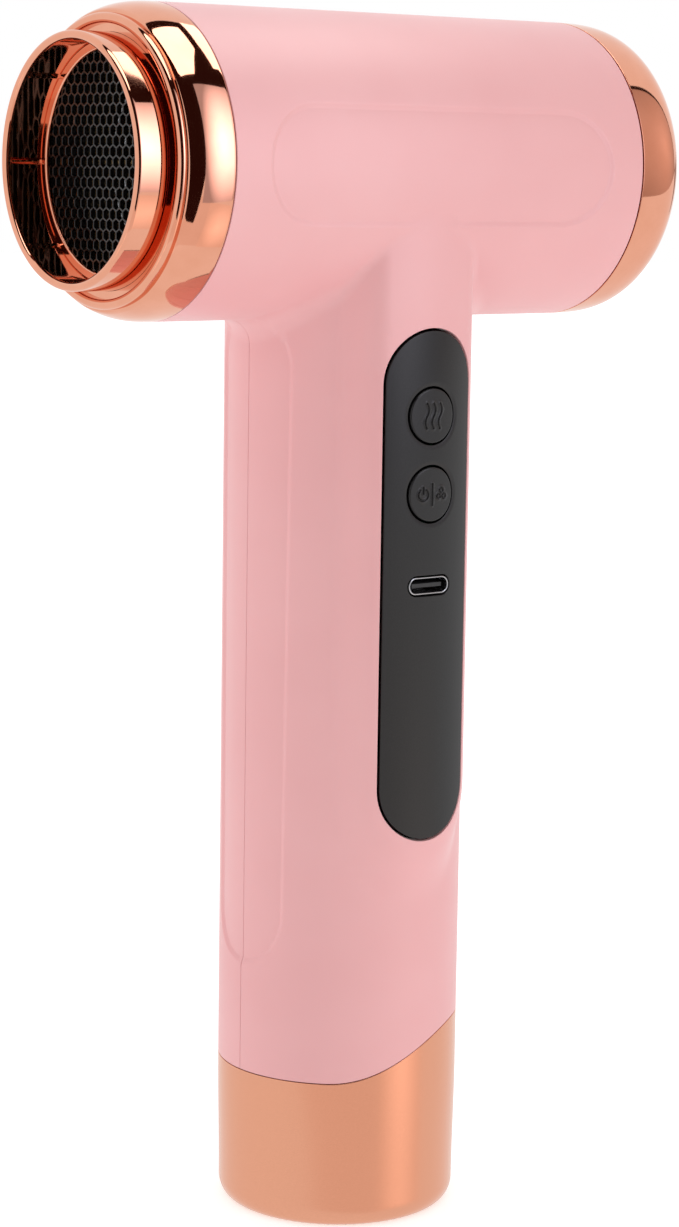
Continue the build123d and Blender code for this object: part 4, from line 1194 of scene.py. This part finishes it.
# lamps: turn, back, distance, (wide, high), watts, and whether satin surfaces show their sheen
lamps = {
    "topSoftbox": (96, 5, 1.1, (1.1, 0.6), 3.8, True),
    "rightSoftbox": (14, 42, 1.3, (0.4, 0.9), 3.0, False),
    "leftSoftbox": (160, -35, 1.3, (0.4, 0.9), 3.5, False),
}
satinPieces = bpy.data.collections.new("satinPieces")
for piece in satin:
    satinPieces.objects.link(piece)
for name, (turn, back, away, size, watts, sheen) in lamps.items():
    lamp = bpy.data.lights.new(name, "AREA")
    lamp.shape = "RECTANGLE"
    lamp.size, lamp.size_y = size
    lamp.energy = watts
    softbox = bpy.data.objects.new(name, lamp)
    way = roundBarrel(turn, back)
    softbox.location = Vector(studio["aim"]) + way * away
    softbox.rotation_euler = (-way).to_track_quat("-Z", "Y").to_euler()
    softbox.visible_glossy = sheen
    softbox.light_linking.receiver_collection = satinPieces
    bpy.context.scene.collection.objects.link(softbox)

# small cards that only reflections see: the place that they stand round, (from, to) up and over
# it, (from, to) towards the rear, how much narrower the low end is, distance, colour,
# brightness at the edge and in the middle
outletEnd, intakeEnd, footEnd = (0, -0.05, 0.192), (0, 0.05, 0.192), (0, 0, 0.02)
cards = {
    "warmStrip": (outletEnd, (-24, 50), (2, 46), 1.0, 0.165, "#F4F2FF", 0.6, 4.6),
    "smallWindow": (outletEnd, (64, 106), (27, 46), 0.8, 0.170, "#FFFFFF", 3.2, 3.2),
    "largeWindow": (outletEnd, (57, 98), (-22, 22), 0.4, 0.170, "#FFFFFF", 3.2, 3.2),
    "darkWall": (outletEnd, (-38, 62), (-46, 6), 0.6, 0.180, "#2A1410", 1.0, 1.0),
    "darkCeiling": (outletEnd, (44, 106), (-46, 48), 1.0, 0.185, "#2A1410", 1.0, 1.0),
    "rearWall": (intakeEnd, (-19, 62), (4, 104), 1.0, 0.170, "#E0CCC4", 0.5, 1.35),
    "rearLine": (intakeEnd, (60, 63), (22, 92), 1.0, 0.165, "#2A1410", 1.0, 1.0),
    "footGlowLeft": (footEnd, (-34, 12), (-106, -76), 1.0, 0.26, "#FFF4EE", 1.0, 1.7),
    "footGlowRight": (footEnd, (-34, 12), (4, 46), 1.0, 0.26, "#FFF4EE", 1.0, 1.55),
    "footDim": (footEnd, (-36, 12), (-76, 6), 1.0, 0.30, "#FBF2EE", 0.97, 0.97),
}
cardSteps = 12
for name, (end, turns, backs, taper, away, colour, edgeGlow, midGlow) in cards.items():
    # a curved card, so that its sides stay straight in a round reflection
    points = []
    aim = Vector(end)
    for i in range(cardSteps + 1):
        narrow = taper + (1 - taper) * min(1, 2 * i / cardSteps)
        middle = sum(backs) / 2
        for j in range(cardSteps + 1):
            back = middle + (backs[1] - backs[0]) * (j / cardSteps - 0.5) * narrow
            points.append(aim + roundBarrel(turns[0] + (turns[1] - turns[0]) * i / cardSteps, back) * away)
    look, light = glowPaper(name + "Paper", colour, edgeGlow)
    if midGlow != edgeGlow:
        # brightness falls away from the card's middle
        centre = aim + roundBarrel(sum(turns) / 2, sum(backs) / 2) * away
        tall = away * radians(turns[1] - turns[0]) / 2
        wide = away * radians(backs[1] - backs[0]) / 2
        place = addNode(look.node_tree, "ShaderNodeTexCoord").outputs["Object"]
        spread = addNode(look.node_tree, "ShaderNodeMapping",
                         {"vector_type": "TEXTURE", "Location": tuple(centre),
                          "Scale": (tall, wide, tall)}, {"Vector": place})
        fade = addNode(look.node_tree, "ShaderNodeTexGradient", {"gradient_type": "SPHERICAL"},
                       {"Vector": spread.outputs["Vector"]})
        strength = addNode(look.node_tree, "ShaderNodeMapRange",
                           {"To Min": edgeGlow, "To Max": midGlow}, {"Value": fade.outputs["Fac"]})
        look.node_tree.links.new(strength.outputs["Result"], light.inputs["Strength"])
    card = stageMesh(name, points, gridFaces(cardSteps, cardSteps), look)
    card.visible_camera = card.visible_diffuse = card.visible_shadow = card.visible_transmission = False
print("camera, floor and light placed")
